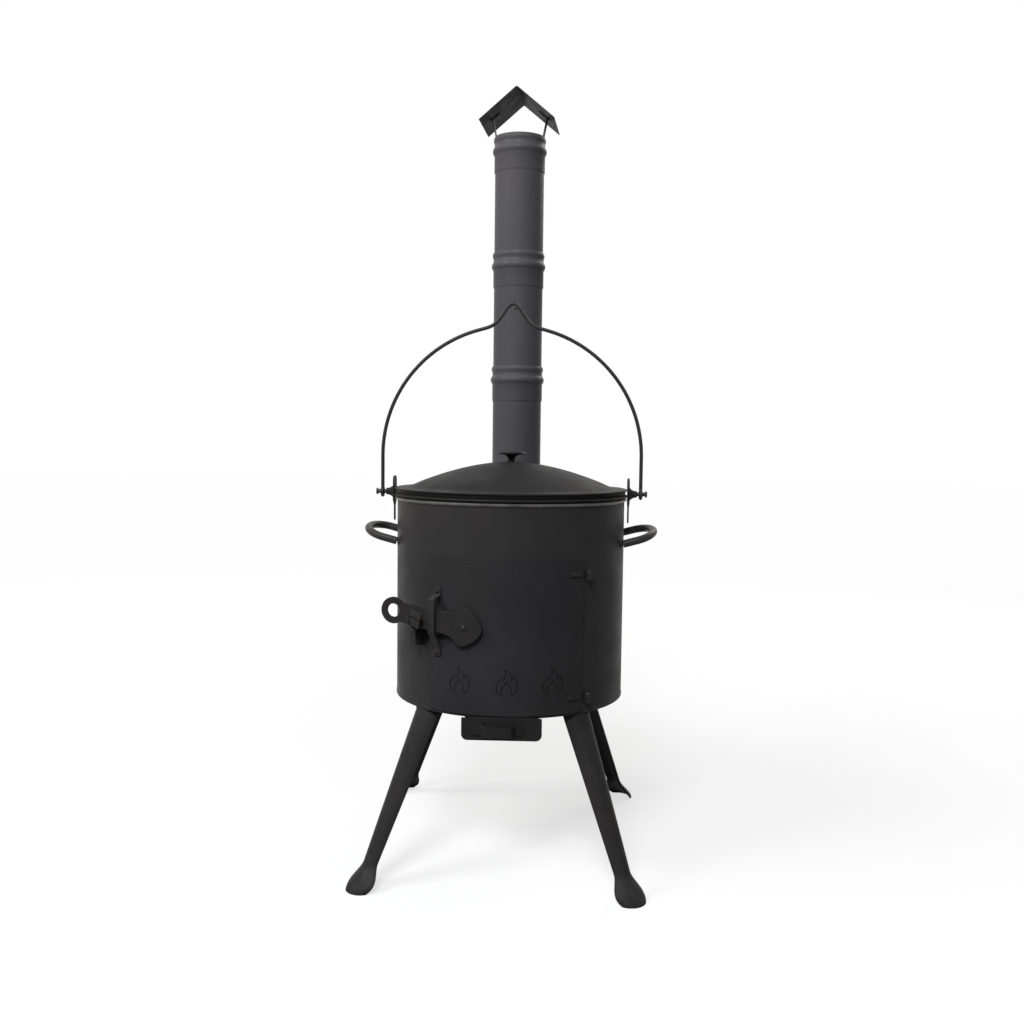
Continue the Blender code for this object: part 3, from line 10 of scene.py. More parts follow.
import bmesh
import bpy
from mathutils import Matrix, Vector

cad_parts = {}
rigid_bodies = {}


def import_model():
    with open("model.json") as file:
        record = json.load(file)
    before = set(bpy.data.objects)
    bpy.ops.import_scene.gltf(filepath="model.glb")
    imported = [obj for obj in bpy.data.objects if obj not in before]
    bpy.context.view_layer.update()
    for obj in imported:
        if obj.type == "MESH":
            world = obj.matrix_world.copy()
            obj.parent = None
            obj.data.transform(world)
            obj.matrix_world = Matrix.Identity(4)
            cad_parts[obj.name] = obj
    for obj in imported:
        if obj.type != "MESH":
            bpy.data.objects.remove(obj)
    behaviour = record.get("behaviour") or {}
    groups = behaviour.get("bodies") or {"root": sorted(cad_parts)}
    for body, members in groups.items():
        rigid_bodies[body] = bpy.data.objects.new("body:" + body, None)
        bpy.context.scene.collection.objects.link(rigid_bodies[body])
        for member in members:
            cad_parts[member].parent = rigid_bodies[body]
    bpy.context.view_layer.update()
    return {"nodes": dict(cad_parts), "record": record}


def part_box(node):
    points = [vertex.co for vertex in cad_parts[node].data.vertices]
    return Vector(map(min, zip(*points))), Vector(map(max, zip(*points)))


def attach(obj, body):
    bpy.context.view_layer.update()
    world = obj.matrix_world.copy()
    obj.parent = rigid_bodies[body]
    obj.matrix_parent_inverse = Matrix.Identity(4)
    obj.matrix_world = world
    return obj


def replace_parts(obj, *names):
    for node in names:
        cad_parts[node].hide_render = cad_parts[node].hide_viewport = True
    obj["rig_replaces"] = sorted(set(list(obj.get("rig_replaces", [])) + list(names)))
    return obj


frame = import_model()
solids = frame["nodes"]

# %% [markdown]
# ## Where things are
# The round firebox is what all else is set against, so its box gives the axis, the radius and the two
# edges. Angles go round it from the front, positive to the right. `facing` makes a local frame on the
# wall, in which X runs along the wall, Y goes up and Z points out. Most fittings are drawn flat in it.

# %% Measure the firebox
shell_low, shell_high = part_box("body_shell")
AXIS = Vector((0, (shell_low.y + shell_high.y) / 2, 0))
BODY_RADIUS = shell_high.x
BODY_BOTTOM, BODY_TOP = shell_low.z, shell_high.z
QUARTER = pi / 2
GAP = 0.0003  # between two pieces that lie against each other
ON_AXIS = Matrix.Translation(AXIS)


def outward(angle):
    """Direction out of the firebox's wall."""
    return Vector((sin(angle), -cos(angle), 0))


def on_wall(angle, radius, z):
    """A point at an angle round the firebox."""
    return AXIS + outward(angle) * radius + Vector((0, 0, z))


def placed(point, *turns):
    """A frame at a point, turned by each (angle, axis) in order."""
    place = Matrix.Translation(point)
    for angle, about in turns:
        place = place @ Matrix.Rotation(angle, 4, about)
    return place


def facing(angle, radius, z=0.0):
    """A frame on the wall: X along it, Y up, Z outwards."""
    return placed(on_wall(angle, radius, z), (angle, "Z"), (QUARTER, "X"))


print("axis y %.4f, radius %.4f, wall %.4f to %.4f" % (AXIS.y, BODY_RADIUS, BODY_BOTTOM, BODY_TOP))

# %% [markdown]
# ## The camera
# The photograph was taken from the front, 1.85 m away, a little above the pot's rim and two degrees to
# the right, slightly down and tilted a hair. The numbers came from matching edges, beads, bail and feet.

# %% Set up the camera
CAMERA_DISTANCE = 1.85
CAMERA_HEIGHT = 0.731
CAMERA_AZIMUTH = radians(2.08)
CAMERA_PAN = radians(-0.06)
CAMERA_PITCH = radians(4.22)
CAMERA_ROLL = radians(0.66)
FOCAL_SHARE = 1.020  # focal length, in picture widths

camera_data = bpy.data.cameras.new("camera")
camera_data.sensor_width = 36
camera_data.lens = 36 * FOCAL_SHARE
camera_data.clip_start = 0.05
camera = bpy.data.objects.new("camera", camera_data)
bpy.context.scene.collection.objects.link(camera)
spot = AXIS + outward(CAMERA_AZIMUTH) * CAMERA_DISTANCE
spot.z += CAMERA_HEIGHT
heading = CAMERA_AZIMUTH + CAMERA_PAN
camera.matrix_world = placed(spot, (heading, "Z"), (QUARTER - CAMERA_PITCH, "X"), (CAMERA_ROLL, "Z"))
bpy.context.scene.camera = camera
bpy.context.scene.view_settings.view_transform = "Standard"
print("camera at", [round(v, 3) for v in camera.matrix_world.translation])

# %% [markdown]
# ## A white room
# The stove stands on white paper in front of white. Paper lit until it is white would flood a black
# stove with light, so the world is white only where the camera looks or a gloss mirrors it. The paper
# is grey and glows white only to the eye, less so near the stove, so that it keeps the shadow.

# %% Build the world and the floor
ROOM_LIGHT = 0.095
PAPER_WHITE = 0.30
GLOW_FAR, GLOW_DROP, GLOW_REACH = 0.965, 0.29, 1.9
FLOOR_SIZE = 30


def math_node(tree, operation, first, second=0.0):
    """One sum in a shader; each side is a number or a socket."""
    made = tree.nodes.new("ShaderNodeMath")
    made.operation = operation
    for socket, given in zip(made.inputs, (first, second)):
        if isinstance(given, float):
            socket.default_value = given
        else:
            tree.links.new(given, socket)
    return made.outputs[0]


def looked_at(tree):
    """1 where the camera, a mirror or glass looks, 0 where light falls."""
    path = tree.nodes.new("ShaderNodeLightPath").outputs
    mirrored = math_node(tree, "MAXIMUM", path["Is Glossy Ray"], path["Is Transmission Ray"])
    return math_node(tree, "MAXIMUM", path["Is Camera Ray"], mirrored)


world = bpy.data.worlds.new("white_room")
bpy.context.scene.world = world
world.use_nodes = True
backdrop = world.node_tree.nodes["Background"]
backdrop.inputs["Color"].default_value = (1, 1, 1, 1)
tree = world.node_tree
tree.links.new(math_node(tree, "MAXIMUM", looked_at(tree), ROOM_LIGHT), backdrop.inputs["Strength"])

bm = bmesh.new()
bmesh.ops.create_grid(bm, x_segments=1, y_segments=1, size=FLOOR_SIZE / 2)
floor_mesh = bpy.data.meshes.new("floor")
bm.to_mesh(floor_mesh)
bm.free()
floor = bpy.data.objects.new("floor", floor_mesh)
bpy.context.scene.collection.objects.link(floor)

paper = bpy.data.materials.new("paper")
paper.use_nodes = True
tree = paper.node_tree
sheet = tree.nodes["Principled BSDF"]
sheet.inputs["Base Color"].default_value = (PAPER_WHITE, PAPER_WHITE, PAPER_WHITE, 1)
sheet.inputs["Roughness"].default_value = 1.0
sheet.inputs["Specular IOR Level"].default_value = 0.0
distance = tree.nodes.new("ShaderNodeVectorMath")
distance.operation = "LENGTH"
tree.links.new(tree.nodes.new("ShaderNodeTexCoord").outputs["Object"], distance.inputs[0])
nearness = math_node(tree, "POWER", math_node(tree, "DIVIDE", distance.outputs["Value"], GLOW_REACH), 2.0)
drop = math_node(tree, "DIVIDE", GLOW_DROP, math_node(tree, "ADD", nearness, 1.0))
strength = math_node(tree, "MULTIPLY", math_node(tree, "SUBTRACT", GLOW_FAR, drop), looked_at(tree))
glow = tree.nodes.new("ShaderNodeEmission")
tree.links.new(strength, glow.inputs["Strength"])
both = tree.nodes.new("ShaderNodeAddShader")
tree.links.new(sheet.outputs[0], both.inputs[0])
tree.links.new(glow.outputs[0], both.inputs[1])
tree.links.new(both.outputs[0], tree.nodes["Material Output"].inputs["Surface"])
floor_mesh.materials.append(paper)
print("floor", FLOOR_SIZE, "m across")

# %% [markdown]
# ## Lamps
# In the photograph the left side of the chimney and of the firebox is the lighter one, and the right
# side falls off into the dark. Three soft lamps do that: a cool one high in front, a little to the
# left, one at the left side, and a weak warm one behind that draws a thin line down the right edge.

# %% Hang the lamps


def soft_lamp(name, place, target, size, power, colour=(1, 1, 1)):
    """A square lamp that points at a spot."""
    data = bpy.data.lights.new(name, "AREA")
    data.size = size
    data.energy = power
    data.color = colour
    lamp = bpy.data.objects.new(name, data)
    bpy.context.scene.collection.objects.link(lamp)
    place, target = Vector(place), Vector(target)
    lamp.matrix_world = placed(place) @ (target - place).to_track_quat("-Z", "Y").to_matrix().to_4x4()


soft_lamp("side", (-2.0, -1.0, 2.4), (0, 0, 1.2), 1.0, 50)
soft_lamp("front", (-0.5, -2.4, 2.9), (0, 0, 1.15), 1.0, 108, (0.94, 0.95, 1))
soft_lamp("back", (1.6, 2.2, 2.4), (0, 0, 1.0), 1.4, 26, (1, 0.93, 0.88))

# %% [markdown]
# ## Black that isn't flat
# Matt paint looks plain from afar. Close up it has slow patches, a fine orange peel, pale dust and
# rubbed spots that shine a little, each a noise of its own size in Object coordinates. The same recipe,
# with other numbers, gives the satin pipes, the rough casting and the light rim, whose colour is a painted highlight.

# %% The paint recipe


def finish(name, colour, rough, level=0.3, metal=0.0, patch=9.0, spread=0.25, grain=700.0, bump=0.00003,
           dust=0.35, dust_colour=(0.10, 0.095, 0.09), rub=0.10, stretch=(1, 1, 1), warm=0.10):
    """A procedural finish: patches, grain, dust and rubbed spots."""
    made = bpy.data.materials.new(name)
    made.use_nodes = True
    nodes, links = made.node_tree.nodes, made.node_tree.links
    shader = nodes["Principled BSDF"]
    shader.inputs["Metallic"].default_value = metal
    shader.inputs["Specular IOR Level"].default_value = level
    place = nodes.new("ShaderNodeTexCoord")
    mapping = nodes.new("ShaderNodeMapping")
    mapping.inputs["Scale"].default_value = stretch
    links.new(place.outputs["Object"], mapping.inputs["Vector"])

    def noise(scale, detail, vector=place.outputs["Object"]):
        made_noise = nodes.new("ShaderNodeTexNoise")
        made_noise.inputs["Scale"].default_value = scale
        made_noise.inputs["Detail"].default_value = detail
        links.new(vector, made_noise.inputs["Vector"])
        return made_noise.outputs["Fac"]

    def ramp(value, low, high, to_low=0.0, to_high=1.0):
        made_ramp = nodes.new("ShaderNodeMapRange")
        for socket, number in (("From Min", low), ("From Max", high), ("To Min", to_low), ("To Max", to_high)):
            made_ramp.inputs[socket].default_value = number
        links.new(value, made_ramp.inputs["Value"])
        return made_ramp.outputs[0]

    def mix(share, first, second):
        made_mix = nodes.new("ShaderNodeMix")
        made_mix.data_type = "RGBA"
        links.new(share, made_mix.inputs["Factor"])
        for socket, given in ((made_mix.inputs[6], first), (made_mix.inputs[7], second)):
            if isinstance(given, tuple):
                socket.default_value = (*given, 1)
            else:
                links.new(given, socket)
        return made_mix.outputs[2]

    thin = tuple(c * (1 - spread) for c in colour)
    thick = tuple(c * (1 + spread) for c in colour)
    warmed = (colour[0] * (1 + warm), colour[1], colour[2] * (1 - warm))
    patches = noise(patch, 5, mapping.outputs[0])
    tone = mix(ramp(patches, 0.30, 0.70), thin, thick)
    tone = mix(ramp(noise(patch / 3, 2), 0.42, 0.68, 0.0, 0.8), tone, warmed)
    grains = noise(grain, 3)
    tone = mix(ramp(grains, 0.60, 0.80, 0.0, 0.35), tone, tuple(c * 2.2 for c in colour))
    specks = ramp(noise(grain / 6, 6), 0.66, 0.80, 0.0, dust * 0.35)
    tone = mix(specks, tone, dust_colour)
    up = nodes.new("ShaderNodeNewGeometry")
    split = nodes.new("ShaderNodeSeparateXYZ")
    links.new(up.outputs["Normal"], split.inputs[0])
    facing_up = ramp(split.outputs["Z"], 0.3, 1.0, 0.0, dust)
    settled = math_node(made.node_tree, "MULTIPLY", facing_up, ramp(noise(patch * 4, 6), 0.35, 0.75))
    tone = mix(settled, tone, dust_colour)
    links.new(tone, shader.inputs["Base Color"])
    gloss = ramp(noise(patch * 2.3, 4, mapping.outputs[0]), 0.35, 0.70, rough + rub / 2, rough - rub)
    links.new(gloss, shader.inputs["Roughness"])
    peel = nodes.new("ShaderNodeBump")
    peel.inputs["Strength"].default_value = 1.0
    peel.inputs["Distance"].default_value = bump
    links.new(grains, peel.inputs["Height"])
    links.new(peel.outputs[0], shader.inputs["Normal"])
    return made


FINISHES = {
    "body_paint": ((0.0252, 0.0244, 0.0250), 0.47, dict(level=0.05, spread=0.14, warm=0.12)),
    "door_paint": ((0.0232, 0.0226, 0.0236), 0.46, dict(level=0.04, patch=11, spread=0.12)),
    "inside_steel": ((0.010, 0.0095, 0.009), 0.75, dict(level=0.03, spread=0.5, dust=0.3)),
    "grate_iron": ((0.020, 0.019, 0.018), 0.70, dict(level=0.05, grain=320, bump=0.0002, spread=0.4)),
    "flue_paint": ((0.064, 0.063, 0.070), 0.40, dict(level=0.06, patch=7, spread=0.12, stretch=(1, 1, 0.35))),
    "cap_paint": ((0.036, 0.036, 0.037), 0.50, dict(level=0.04, patch=16, spread=0.30)),
    "leg_paint": ((0.0220, 0.0218, 0.0225), 0.46, dict(level=0.04, patch=14, spread=0.22, stretch=(1, 1, 0.4))),
    "bar_paint": ((0.030, 0.030, 0.0300), 0.40, dict(level=0.10, patch=20, spread=0.35)),
    "fittings_paint": ((0.022, 0.022, 0.0220), 0.46, dict(level=0.06, patch=30, spread=0.3)),
    "fastener_steel": ((0.026, 0.026, 0.0265), 0.36, dict(level=0.2, metal=0.3, patch=60, dust=0.12)),
    # The rim's light colour below is a painted highlight: it draws the bright line under the flange.
    "rim_painted_highlight": ((0.105, 0.104, 0.102), 0.38, dict(level=0.2, metal=0.3, patch=26, spread=0.45, dust=0.1)),
    "latch_paint": ((0.0215, 0.0205, 0.0205), 0.46, dict(level=0.04, patch=18, spread=0.2)),
    "drawer_paint": ((0.0165, 0.0165, 0.0165), 0.50, dict(level=0.04, patch=14, spread=0.2)),
    "pot_iron": ((0.016, 0.016, 0.016), 0.60, dict(level=0.03, grain=260, bump=0.00012, spread=0.3, dust=0.15)),
    "ear_iron": ((0.017, 0.017, 0.0170), 0.50, dict(level=0.05, grain=420, bump=0.00010, spread=0.3)),
    "bail_wire": ((0.022, 0.022, 0.0225), 0.38, dict(level=0.12, patch=24, stretch=(1, 1, 0.5))),
    "lid_paint": ((0.0185, 0.0180, 0.0180), 0.44, dict(level=0.02, patch=8, spread=0.10, dust=0.05)),
    "knob_paint": ((0.015, 0.015, 0.0152), 0.44, dict(level=0.08, patch=40, dust=0.08)),
}
PAINT = {name: finish(name, colour, rough, **rest) for name, (colour, rough, rest) in FINISHES.items()}
print("finishes:", len(PAINT))

# %% [markdown]
# ## How a piece is finished
# Every piece ends the same way: its bmesh becomes a smooth mesh, a Solidify gives a sheet its wall, and
# a small Bevel rounds the edges, because the thin light line along an edge tells the eye that it is
# solid. Then the piece is told which body it rides on and which plain solids it stands for.

# %% Finish a piece
SHARP = radians(35)


def piece(name, bm, body, slot, stands_for=(), wall=0.0, wall_side=-1, edge=0.0, segments=2, paint=None):
    """Turn a bmesh into a finished piece of the stove."""
    mesh = bpy.data.meshes.new(name)
    bm.to_mesh(mesh)
    bm.free()
    mesh.shade_smooth()
    mesh.set_sharp_from_angle(angle=SHARP)
    mesh.materials.append(PAINT[paint or slot])
    made = bpy.data.objects.new(name, mesh)
    bpy.context.scene.collection.objects.link(made)
    if wall:
        shell = made.modifiers.new("wall", "SOLIDIFY")
        shell.thickness = wall
        shell.offset = wall_side
        shell.use_even_offset = True
    if edge:
        soft = made.modifiers.new("edge", "BEVEL")
        soft.width = edge
        soft.segments = segments
        soft.limit_method = "ANGLE"
        soft.angle_limit = SHARP
        soft.harden_normals = True
    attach(made, body)
    if stands_for:
        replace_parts(made, *stands_for)
    print("%-22s rides on %-20s %6d points" % (name, body, len(mesh.vertices)))


# %% [markdown]
# ## Turned shapes
# Pot, lid, pipes, knob and rivets are round about an axis. Half of the section is drawn as a line of
# points and spun through a full turn, as on a lathe, and the outline stays in one short list.

# %% Spin a section


def spin(section, steps, ring=False, place=ON_AXIS, bm=None):
    """Spin a half section about Z. A ring's section is closed."""
    bm = bm or bmesh.new()
    verts = [bm.verts.new((r, 0, z)) for r, z in section]
    edges = [bm.edges.new(pair) for pair in zip(verts, verts[1:])]
    if ring:
        edges.append(bm.edges.new((verts[-1], verts[0])))
    before = set(bm.verts) - set(verts)
    bmesh.ops.spin(bm, geom=verts + edges, axis=(0, 0, 1), cent=(0, 0, 0), dvec=(0, 0, 0), angle=tau,
                   steps=steps, use_merge=True)
    new = [v for v in bm.verts if v not in before]
    bmesh.ops.remove_doubles(bm, verts=new, dist=1e-6)
    new = [v for v in bm.verts if v not in before]
    faces = list({f for v in new for f in v.link_faces})
    bmesh.ops.recalc_face_normals(bm, faces=faces)
    bmesh.ops.transform(bm, verts=new, matrix=place)
    return bm


def from_corner(across, up, *moves):
    """Points of a section, each a move from a corner."""
    return [(across + x, up + z) for x, z in moves]


def curve_through(points, per=6):
    """A smooth line through points, as many more between each two."""
    ends = [points[0]] + list(points) + [points[-1]]
    line = []
    for a, b, c, d in zip(ends, ends[1:], ends[2:], ends[3:]):
        for i in range(per):
            t = i / per
            line.append(tuple(
                0.5 * (2 * q + (r - p) * t + (2 * p - 5 * q + 4 * r - s) * t * t + (3 * q - p - 3 * r + s) * t ** 3)
                for p, q, r, s in zip(a, b, c, d)))
    return line + [tuple(points[-1])]


def arc(centre, radius, start, end, steps):
    """Points along an arc in a plane, both ends included; angles in degrees."""
    turns = [radians(start + (end - start) * i / steps) for i in range(steps + 1)]
    return [(centre[0] + radius * cos(t), centre[1] + radius * sin(t)) for t in turns]


def round_edges(bm, edges, radius, segments):
    """Round some edges of a mesh that is still being built."""
    bmesh.ops.bevel(bm, geom=edges, offset=radius, offset_type="OFFSET", segments=segments, profile=0.5,
                    affect="EDGES", clamp_overlap=True, material=-1)


def add_block(bm, place, *size):
    """Add a block, to be rounded or joined to other shapes."""
    bmesh.ops.create_cube(bm, size=1, matrix=place @ Matrix.Diagonal((*size, 1)))


def oval(middle, across, up, count):
    """Points round an oval, from its middle and its two half axes."""
    turns = [tau * i / count for i in range(count)]
    return [middle + across * cos(t) + up * sin(t) for t in turns]


print("turned shapes, blocks and ovals are ready")

# %% [markdown]
# ## Rolled sheet
# The firebox and its door are cut flat and rolled afterwards, and so are these. The outline and its
# holes are filled and sliced into narrow upright strips with bisect_plane. Then each point's distance
# along the sheet becomes an angle round the firebox.

# %% Roll a flat sheet


def flat_sheet(outlines):
    """Fill a flat outline; the outlines after the first are holes."""
    bm = bmesh.new()
    edges = []
    for outline in outlines:
        verts = [bm.verts.new((x, y, 0)) for x, y in outline]
        edges += [bm.edges.new(pair) for pair in zip(verts, verts[1:] + verts[:1])]
    bmesh.ops.triangle_fill(bm, use_beauty=True, use_dissolve=False, edges=edges, normal=(0, 0, 1))
    for face in bm.faces:
        if face.normal.z < 0:
            face.normal_flip()
    return bm


def rolled(outlines, radius, strip, closed=False):
    """Cut a sheet flat, then roll it round the firebox."""
    bm = flat_sheet(outlines)
    low = min(v.co.x for v in bm.verts)
    high = max(v.co.x for v in bm.verts)
    count = max(1, round((high - low) / strip))
    for step in range(1, count):
        x = low + (high - low) * step / count
        geom = list(bm.verts) + list(bm.edges) + list(bm.faces)
        bmesh.ops.bisect_plane(bm, geom=geom, dist=1e-7, plane_co=(x, 0, 0), plane_no=(1, 0, 0))
    inner = [e for e in bm.edges if len(e.link_faces) == 2 and abs(e.verts[0].co.x - e.verts[1].co.x) > 1e-6]
    bmesh.ops.dissolve_edges(bm, edges=inner, use_verts=False)
    for vert in bm.verts:
        vert.co = on_wall(vert.co.x / radius, radius, vert.co.y)
    if closed:
        bmesh.ops.remove_doubles(bm, verts=bm.verts, dist=1e-5)
    return bm


def rounded_box(low, high, corner, steps=6):
    """Outline of a rectangle with round corners."""
    (x0, y0), (x1, y1) = low, high
    x0, y0, x1, y1 = x0 + corner, y0 + corner, x1 - corner, y1 - corner
    corners = (((x1, y0), -90), ((x1, y1), 0), ((x0, y1), 90), ((x0, y0), 180))
    return [point for centre, start in corners for point in arc(centre, corner, start, start + 90, steps)]


def circle(centre, radius, steps=48):
    """A round outline."""
    return arc(centre, radius, 0, 360, steps)[:-1]


print("sheets are sliced, then rolled")

# %% [markdown]
# ## Bars, straps and plates
# A round bar is a circle carried along a path and turned at every bend, which is what extrude and
# transform do. A strap is a line extruded sideways, and a plate an outline with thickness.

# %% Sweep, fold and cut


def swept(path, radius, sides=20, bm=None, caps=True, loop=False):
    """Carry a circle along a path."""
    bm = bm or bmesh.new()
    path = [Vector(p) for p in path]
    steps = [(b - a).normalized() for a, b in zip(path, path[1:])]
    if loop:
        steps.append((path[0] - path[-1]).normalized())
        ways = [(steps[i - 1] + steps[i]).normalized() for i in range(len(path))]
    else:
        ways = [steps[0]] + [(a + b).normalized() for a, b in zip(steps, steps[1:])] + [steps[-1]]
    turn = ways[0].to_track_quat("Z", "Y")
    made = bmesh.ops.create_circle(bm, segments=sides, radius=radius, cap_ends=False,
                                   matrix=Matrix.Translation(path[0]) @ turn.to_matrix().to_4x4())
    ring = made["verts"]
    first = list(ring)
    edges = [e for e in bm.edges if e.verts[0] in ring and e.verts[1] in ring]
    first_edges = list(edges)
    for here, there, way, next_way in zip(path, path[1:], ways, ways[1:]):
        out = bmesh.ops.extrude_edge_only(bm, edges=edges)["geom"]
        ring = [v for v in out if isinstance(v, bmesh.types.BMVert)]
        edges = [e for e in out if isinstance(e, bmesh.types.BMEdge)]
        bend = way.rotation_difference(next_way).to_matrix().to_4x4()
        bmesh.ops.transform(bm, verts=ring, matrix=Matrix.Translation(there) @ bend @ Matrix.Translation(-here))
    if loop:
        bmesh.ops.bridge_loops(bm, edges=edges + first_edges)
    elif caps:
        bmesh.ops.edgeloop_fill(bm, edges=first_edges)
        bmesh.ops.edgeloop_fill(bm, edges=edges)
    bmesh.ops.recalc_face_normals(bm, faces=bm.faces)
    return bm


def strap(path, width, bend, place):
    """A strip along a path in its XZ plane, its width along Y, with round bends."""
    bm = bmesh.new()
    near = [bm.verts.new((x, -width / 2, z)) for x, z in path]
    edges = [bm.edges.new(pair) for pair in zip(near, near[1:])]
    far = bmesh.ops.extrude_edge_only(bm, edges=edges)["geom"]
    bmesh.ops.translate(bm, verts=[v for v in far if isinstance(v, bmesh.types.BMVert)], vec=(0, width, 0))
    round_edges(bm, [e for e in bm.edges if len(e.link_faces) == 2], bend, 5)
    bmesh.ops.recalc_face_normals(bm, faces=bm.faces)
    bmesh.ops.transform(bm, verts=bm.verts, matrix=place)
    return bm


def cut_plate(outlines, place):
    """A flat outline put in its place; Solidify gives it its thickness."""
    bm = flat_sheet(outlines)
    bmesh.ops.dissolve_limit(bm, angle_limit=radians(1), verts=bm.verts, edges=bm.edges)
    bmesh.ops.transform(bm, verts=bm.verts, matrix=place)
    return bm


print("bars, straps and plates are ready")

# %% [markdown]
# ## The firebox
# A sheet of 2 mm steel, rolled to a cylinder 400 mm across and welded down the back. The window for
# the door is cut in the flat. A narrow hem at the foot catches the light under the door, and the top
# edge is rolled out; its light paint is a painted highlight, which draws the bright line under the
# flange.

# %% Roll the firebox
SHEET = 0.002
door_low, door_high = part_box("door_panel")
DOOR_BOTTOM, DOOR_TOP = door_low.z, door_high.z
DOOR_RADIUS = BODY_RADIUS + 0.0025
DOOR_HALF_ANGLE = asin(door_high.x / BODY_RADIUS)
collar_low, collar_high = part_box("flue_collar")
FLUE_Z = (collar_low.z + collar_high.z) / 2
PIPE_RADIUS, PIPE_WALL = 0.0485, 0.0012

half_turn = pi * BODY_RADIUS
DOOR_LAP = 0.012
window_half = DOOR_HALF_ANGLE * BODY_RADIUS - DOOR_LAP
window = rounded_box((-window_half, DOOR_BOTTOM + DOOR_LAP), (window_half, DOOR_TOP - DOOR_LAP), 0.010)
wall_sheet = [(-half_turn, BODY_BOTTOM), (half_turn, BODY_BOTTOM), (half_turn, BODY_TOP), (-half_turn, BODY_TOP)]
wall_bm = rolled([wall_sheet, window], BODY_RADIUS, 0.0065, closed=True)
piece("firebox_wall", wall_bm, "stove", "body_paint", ["body_shell"], wall=SHEET, edge=0.0004)

HEM_HEIGHT = 0.0042
hem = from_corner(BODY_RADIUS, BODY_BOTTOM, (0.0001, 0), (0.0006, 0.0004), (0.0006, HEM_HEIGHT - 0.0004),
                  (0.0001, HEM_HEIGHT), (-0.0005, HEM_HEIGHT), (-0.0005, 0))
piece("firebox_hem", spin(hem, 240, ring=True), "stove", "body_paint")

RIM_OUT, RIM_HEIGHT = 0.0036, 0.0040
rim = from_corner(BODY_RADIUS, BODY_TOP, (-0.0004, -RIM_HEIGHT - 0.0022), (0.0004, -RIM_HEIGHT - 0.0016),
                  (RIM_OUT * 0.85, -RIM_HEIGHT + 0.0004), (RIM_OUT, -RIM_HEIGHT + 0.0014), (RIM_OUT, -0.0012),
                  (RIM_OUT - 0.0010, -0.0002), (-0.0004, -0.0002))
# The rim's light paint is a painted highlight that draws the bright line under the flange.
piece("firebox_rim", spin(rim, 240, ring=True), "stove", "body_paint", paint="rim_painted_highlight")


def weld(path, radius, sides=8, ripple=0.18, pitch=0.0016):
    """A weld bead: a thin bar whose thickness ripples."""
    path = curve_through(path, 4)
    bm = swept(path, radius, sides)
    for vert in bm.verts:
        centre = min((Vector(p) for p in path), key=lambda p: (p - vert.co).length_squared)
        along = sum(vert.co) / pitch
        vert.co = centre + (vert.co - centre) * (1 + ripple * sin(along))
    return bm


for end, foot, count in (("low", BODY_BOTTOM + 0.004, 25), ("high", FLUE_Z + 0.068, 9)):
    seam = [on_wall(pi, BODY_RADIUS, foot + i * 0.006) for i in range(count)]
    piece("firebox_seam_" + end, weld(seam, 0.0011), "stove", "body_paint")

# %% [markdown]
# ## Floor pan
# The firebox stands on a dished pan whose rim is welded inside the wall. From below it is the largest
# face of the stove, so it gets a pressed ring and a round rim.

# %% Spin the pan
pan_low, pan_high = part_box("bottom_pan")
pan_radius = pan_high.x
ASH_HOLE = 0.050
pan_section = [(pan_radius, pan_high.z)]
pan_section += from_corner(pan_radius, pan_low.z, (0, 0.002), (-0.0006, 0.0006), (-0.002, 0))
pan_section += from_corner(0, pan_low.z, (0.074, 0), (0.072, 0.0008), (0.066, 0.0008), (0.064, 0), (ASH_HOLE, 0),
                           (ASH_HOLE, SHEET))
pan_section += from_corner(pan_radius - SHEET, pan_low.z + SHEET, (-0.001, 0), (0, 0.001))
pan_section += [(pan_radius - SHEET, pan_high.z)]
piece("floor_pan", spin(pan_section, 180, ring=True), "stove", "inside_steel",
      ["bottom_pan"])

# %% [markdown]
# ## Door
# The door is a curved plate that laps the window all round. Three flames run along its foot. They are
# this lesson's own drawing, of four strokes each, and they are slots in a thin front sheet that lies
# on a plain one, which makes a real groove without carving. The place above them is left bare.

# %% Draw a flame
GROOVE = 0.0014
FLAME_ANGLES = (-21.3, 1.0, 22.6)
FLAME_WIDTH = 1.10
FLAME_FOOT = 0.3135
FLAME_STROKES = [
    [(-6, 0), (-12.5, 4), (-15.5, 12), (-13.5, 20), (-9, 27), (-7.5, 31)],
    [(-6.2, 24), (-2, 30), (-1.2, 36), (-2.8, 42), (4, 37), (7.2, 30), (6.8, 24)],
    [(8.6, 27), (11.5, 31.5), (14.2, 24), (15.6, 14), (13, 5), (7, 0)],
    [(-6.2, 3), (-8, 10), (-3.5, 17), (0, 22), (4.2, 16.5), (7.6, 9), (5.8, 3)],
]


def stroke_outline(stroke, centre, width):
    """A line of a drawing, in millimetres, as a closed outline of some width in metres."""
    line = [Vector((centre[0] + x * FLAME_WIDTH * 0.001, centre[1] + y * 0.001)) for x, y in curve_through(stroke, 5)]
    left, right = [], []
    for i, point in enumerate(line):
        way = (line[min(i + 1, len(line) - 1)] - line[max(i - 1, 0)]).normalized()
        side = Vector((-way.y, way.x)) * width / 2
        left.append(tuple(point + side))
        right.append(tuple(point - side))
    return left + right[::-1]


grooves = []
for degrees in FLAME_ANGLES:
    middle = radians(degrees) * DOOR_RADIUS
    grooves += [stroke_outline(stroke, (middle, FLAME_FOOT), GROOVE) for stroke in FLAME_STROKES]
door_half = DOOR_HALF_ANGLE * DOOR_RADIUS
door_outline = rounded_box((-door_half, DOOR_BOTTOM), (door_half, DOOR_TOP), 0.007)
FRONT_SHEET = 0.0008
front_bm = rolled([door_outline] + grooves, DOOR_RADIUS, 0.004)
piece("door_front", front_bm, "door", "door_paint", ["door_panel"], wall=FRONT_SHEET, edge=0.00012, segments=1)
back_bm = rolled([door_outline], DOOR_RADIUS - FRONT_SHEET, 0.004)
piece("door_back", back_bm, "door", "inside_steel", wall=0.0012, edge=0.0003)

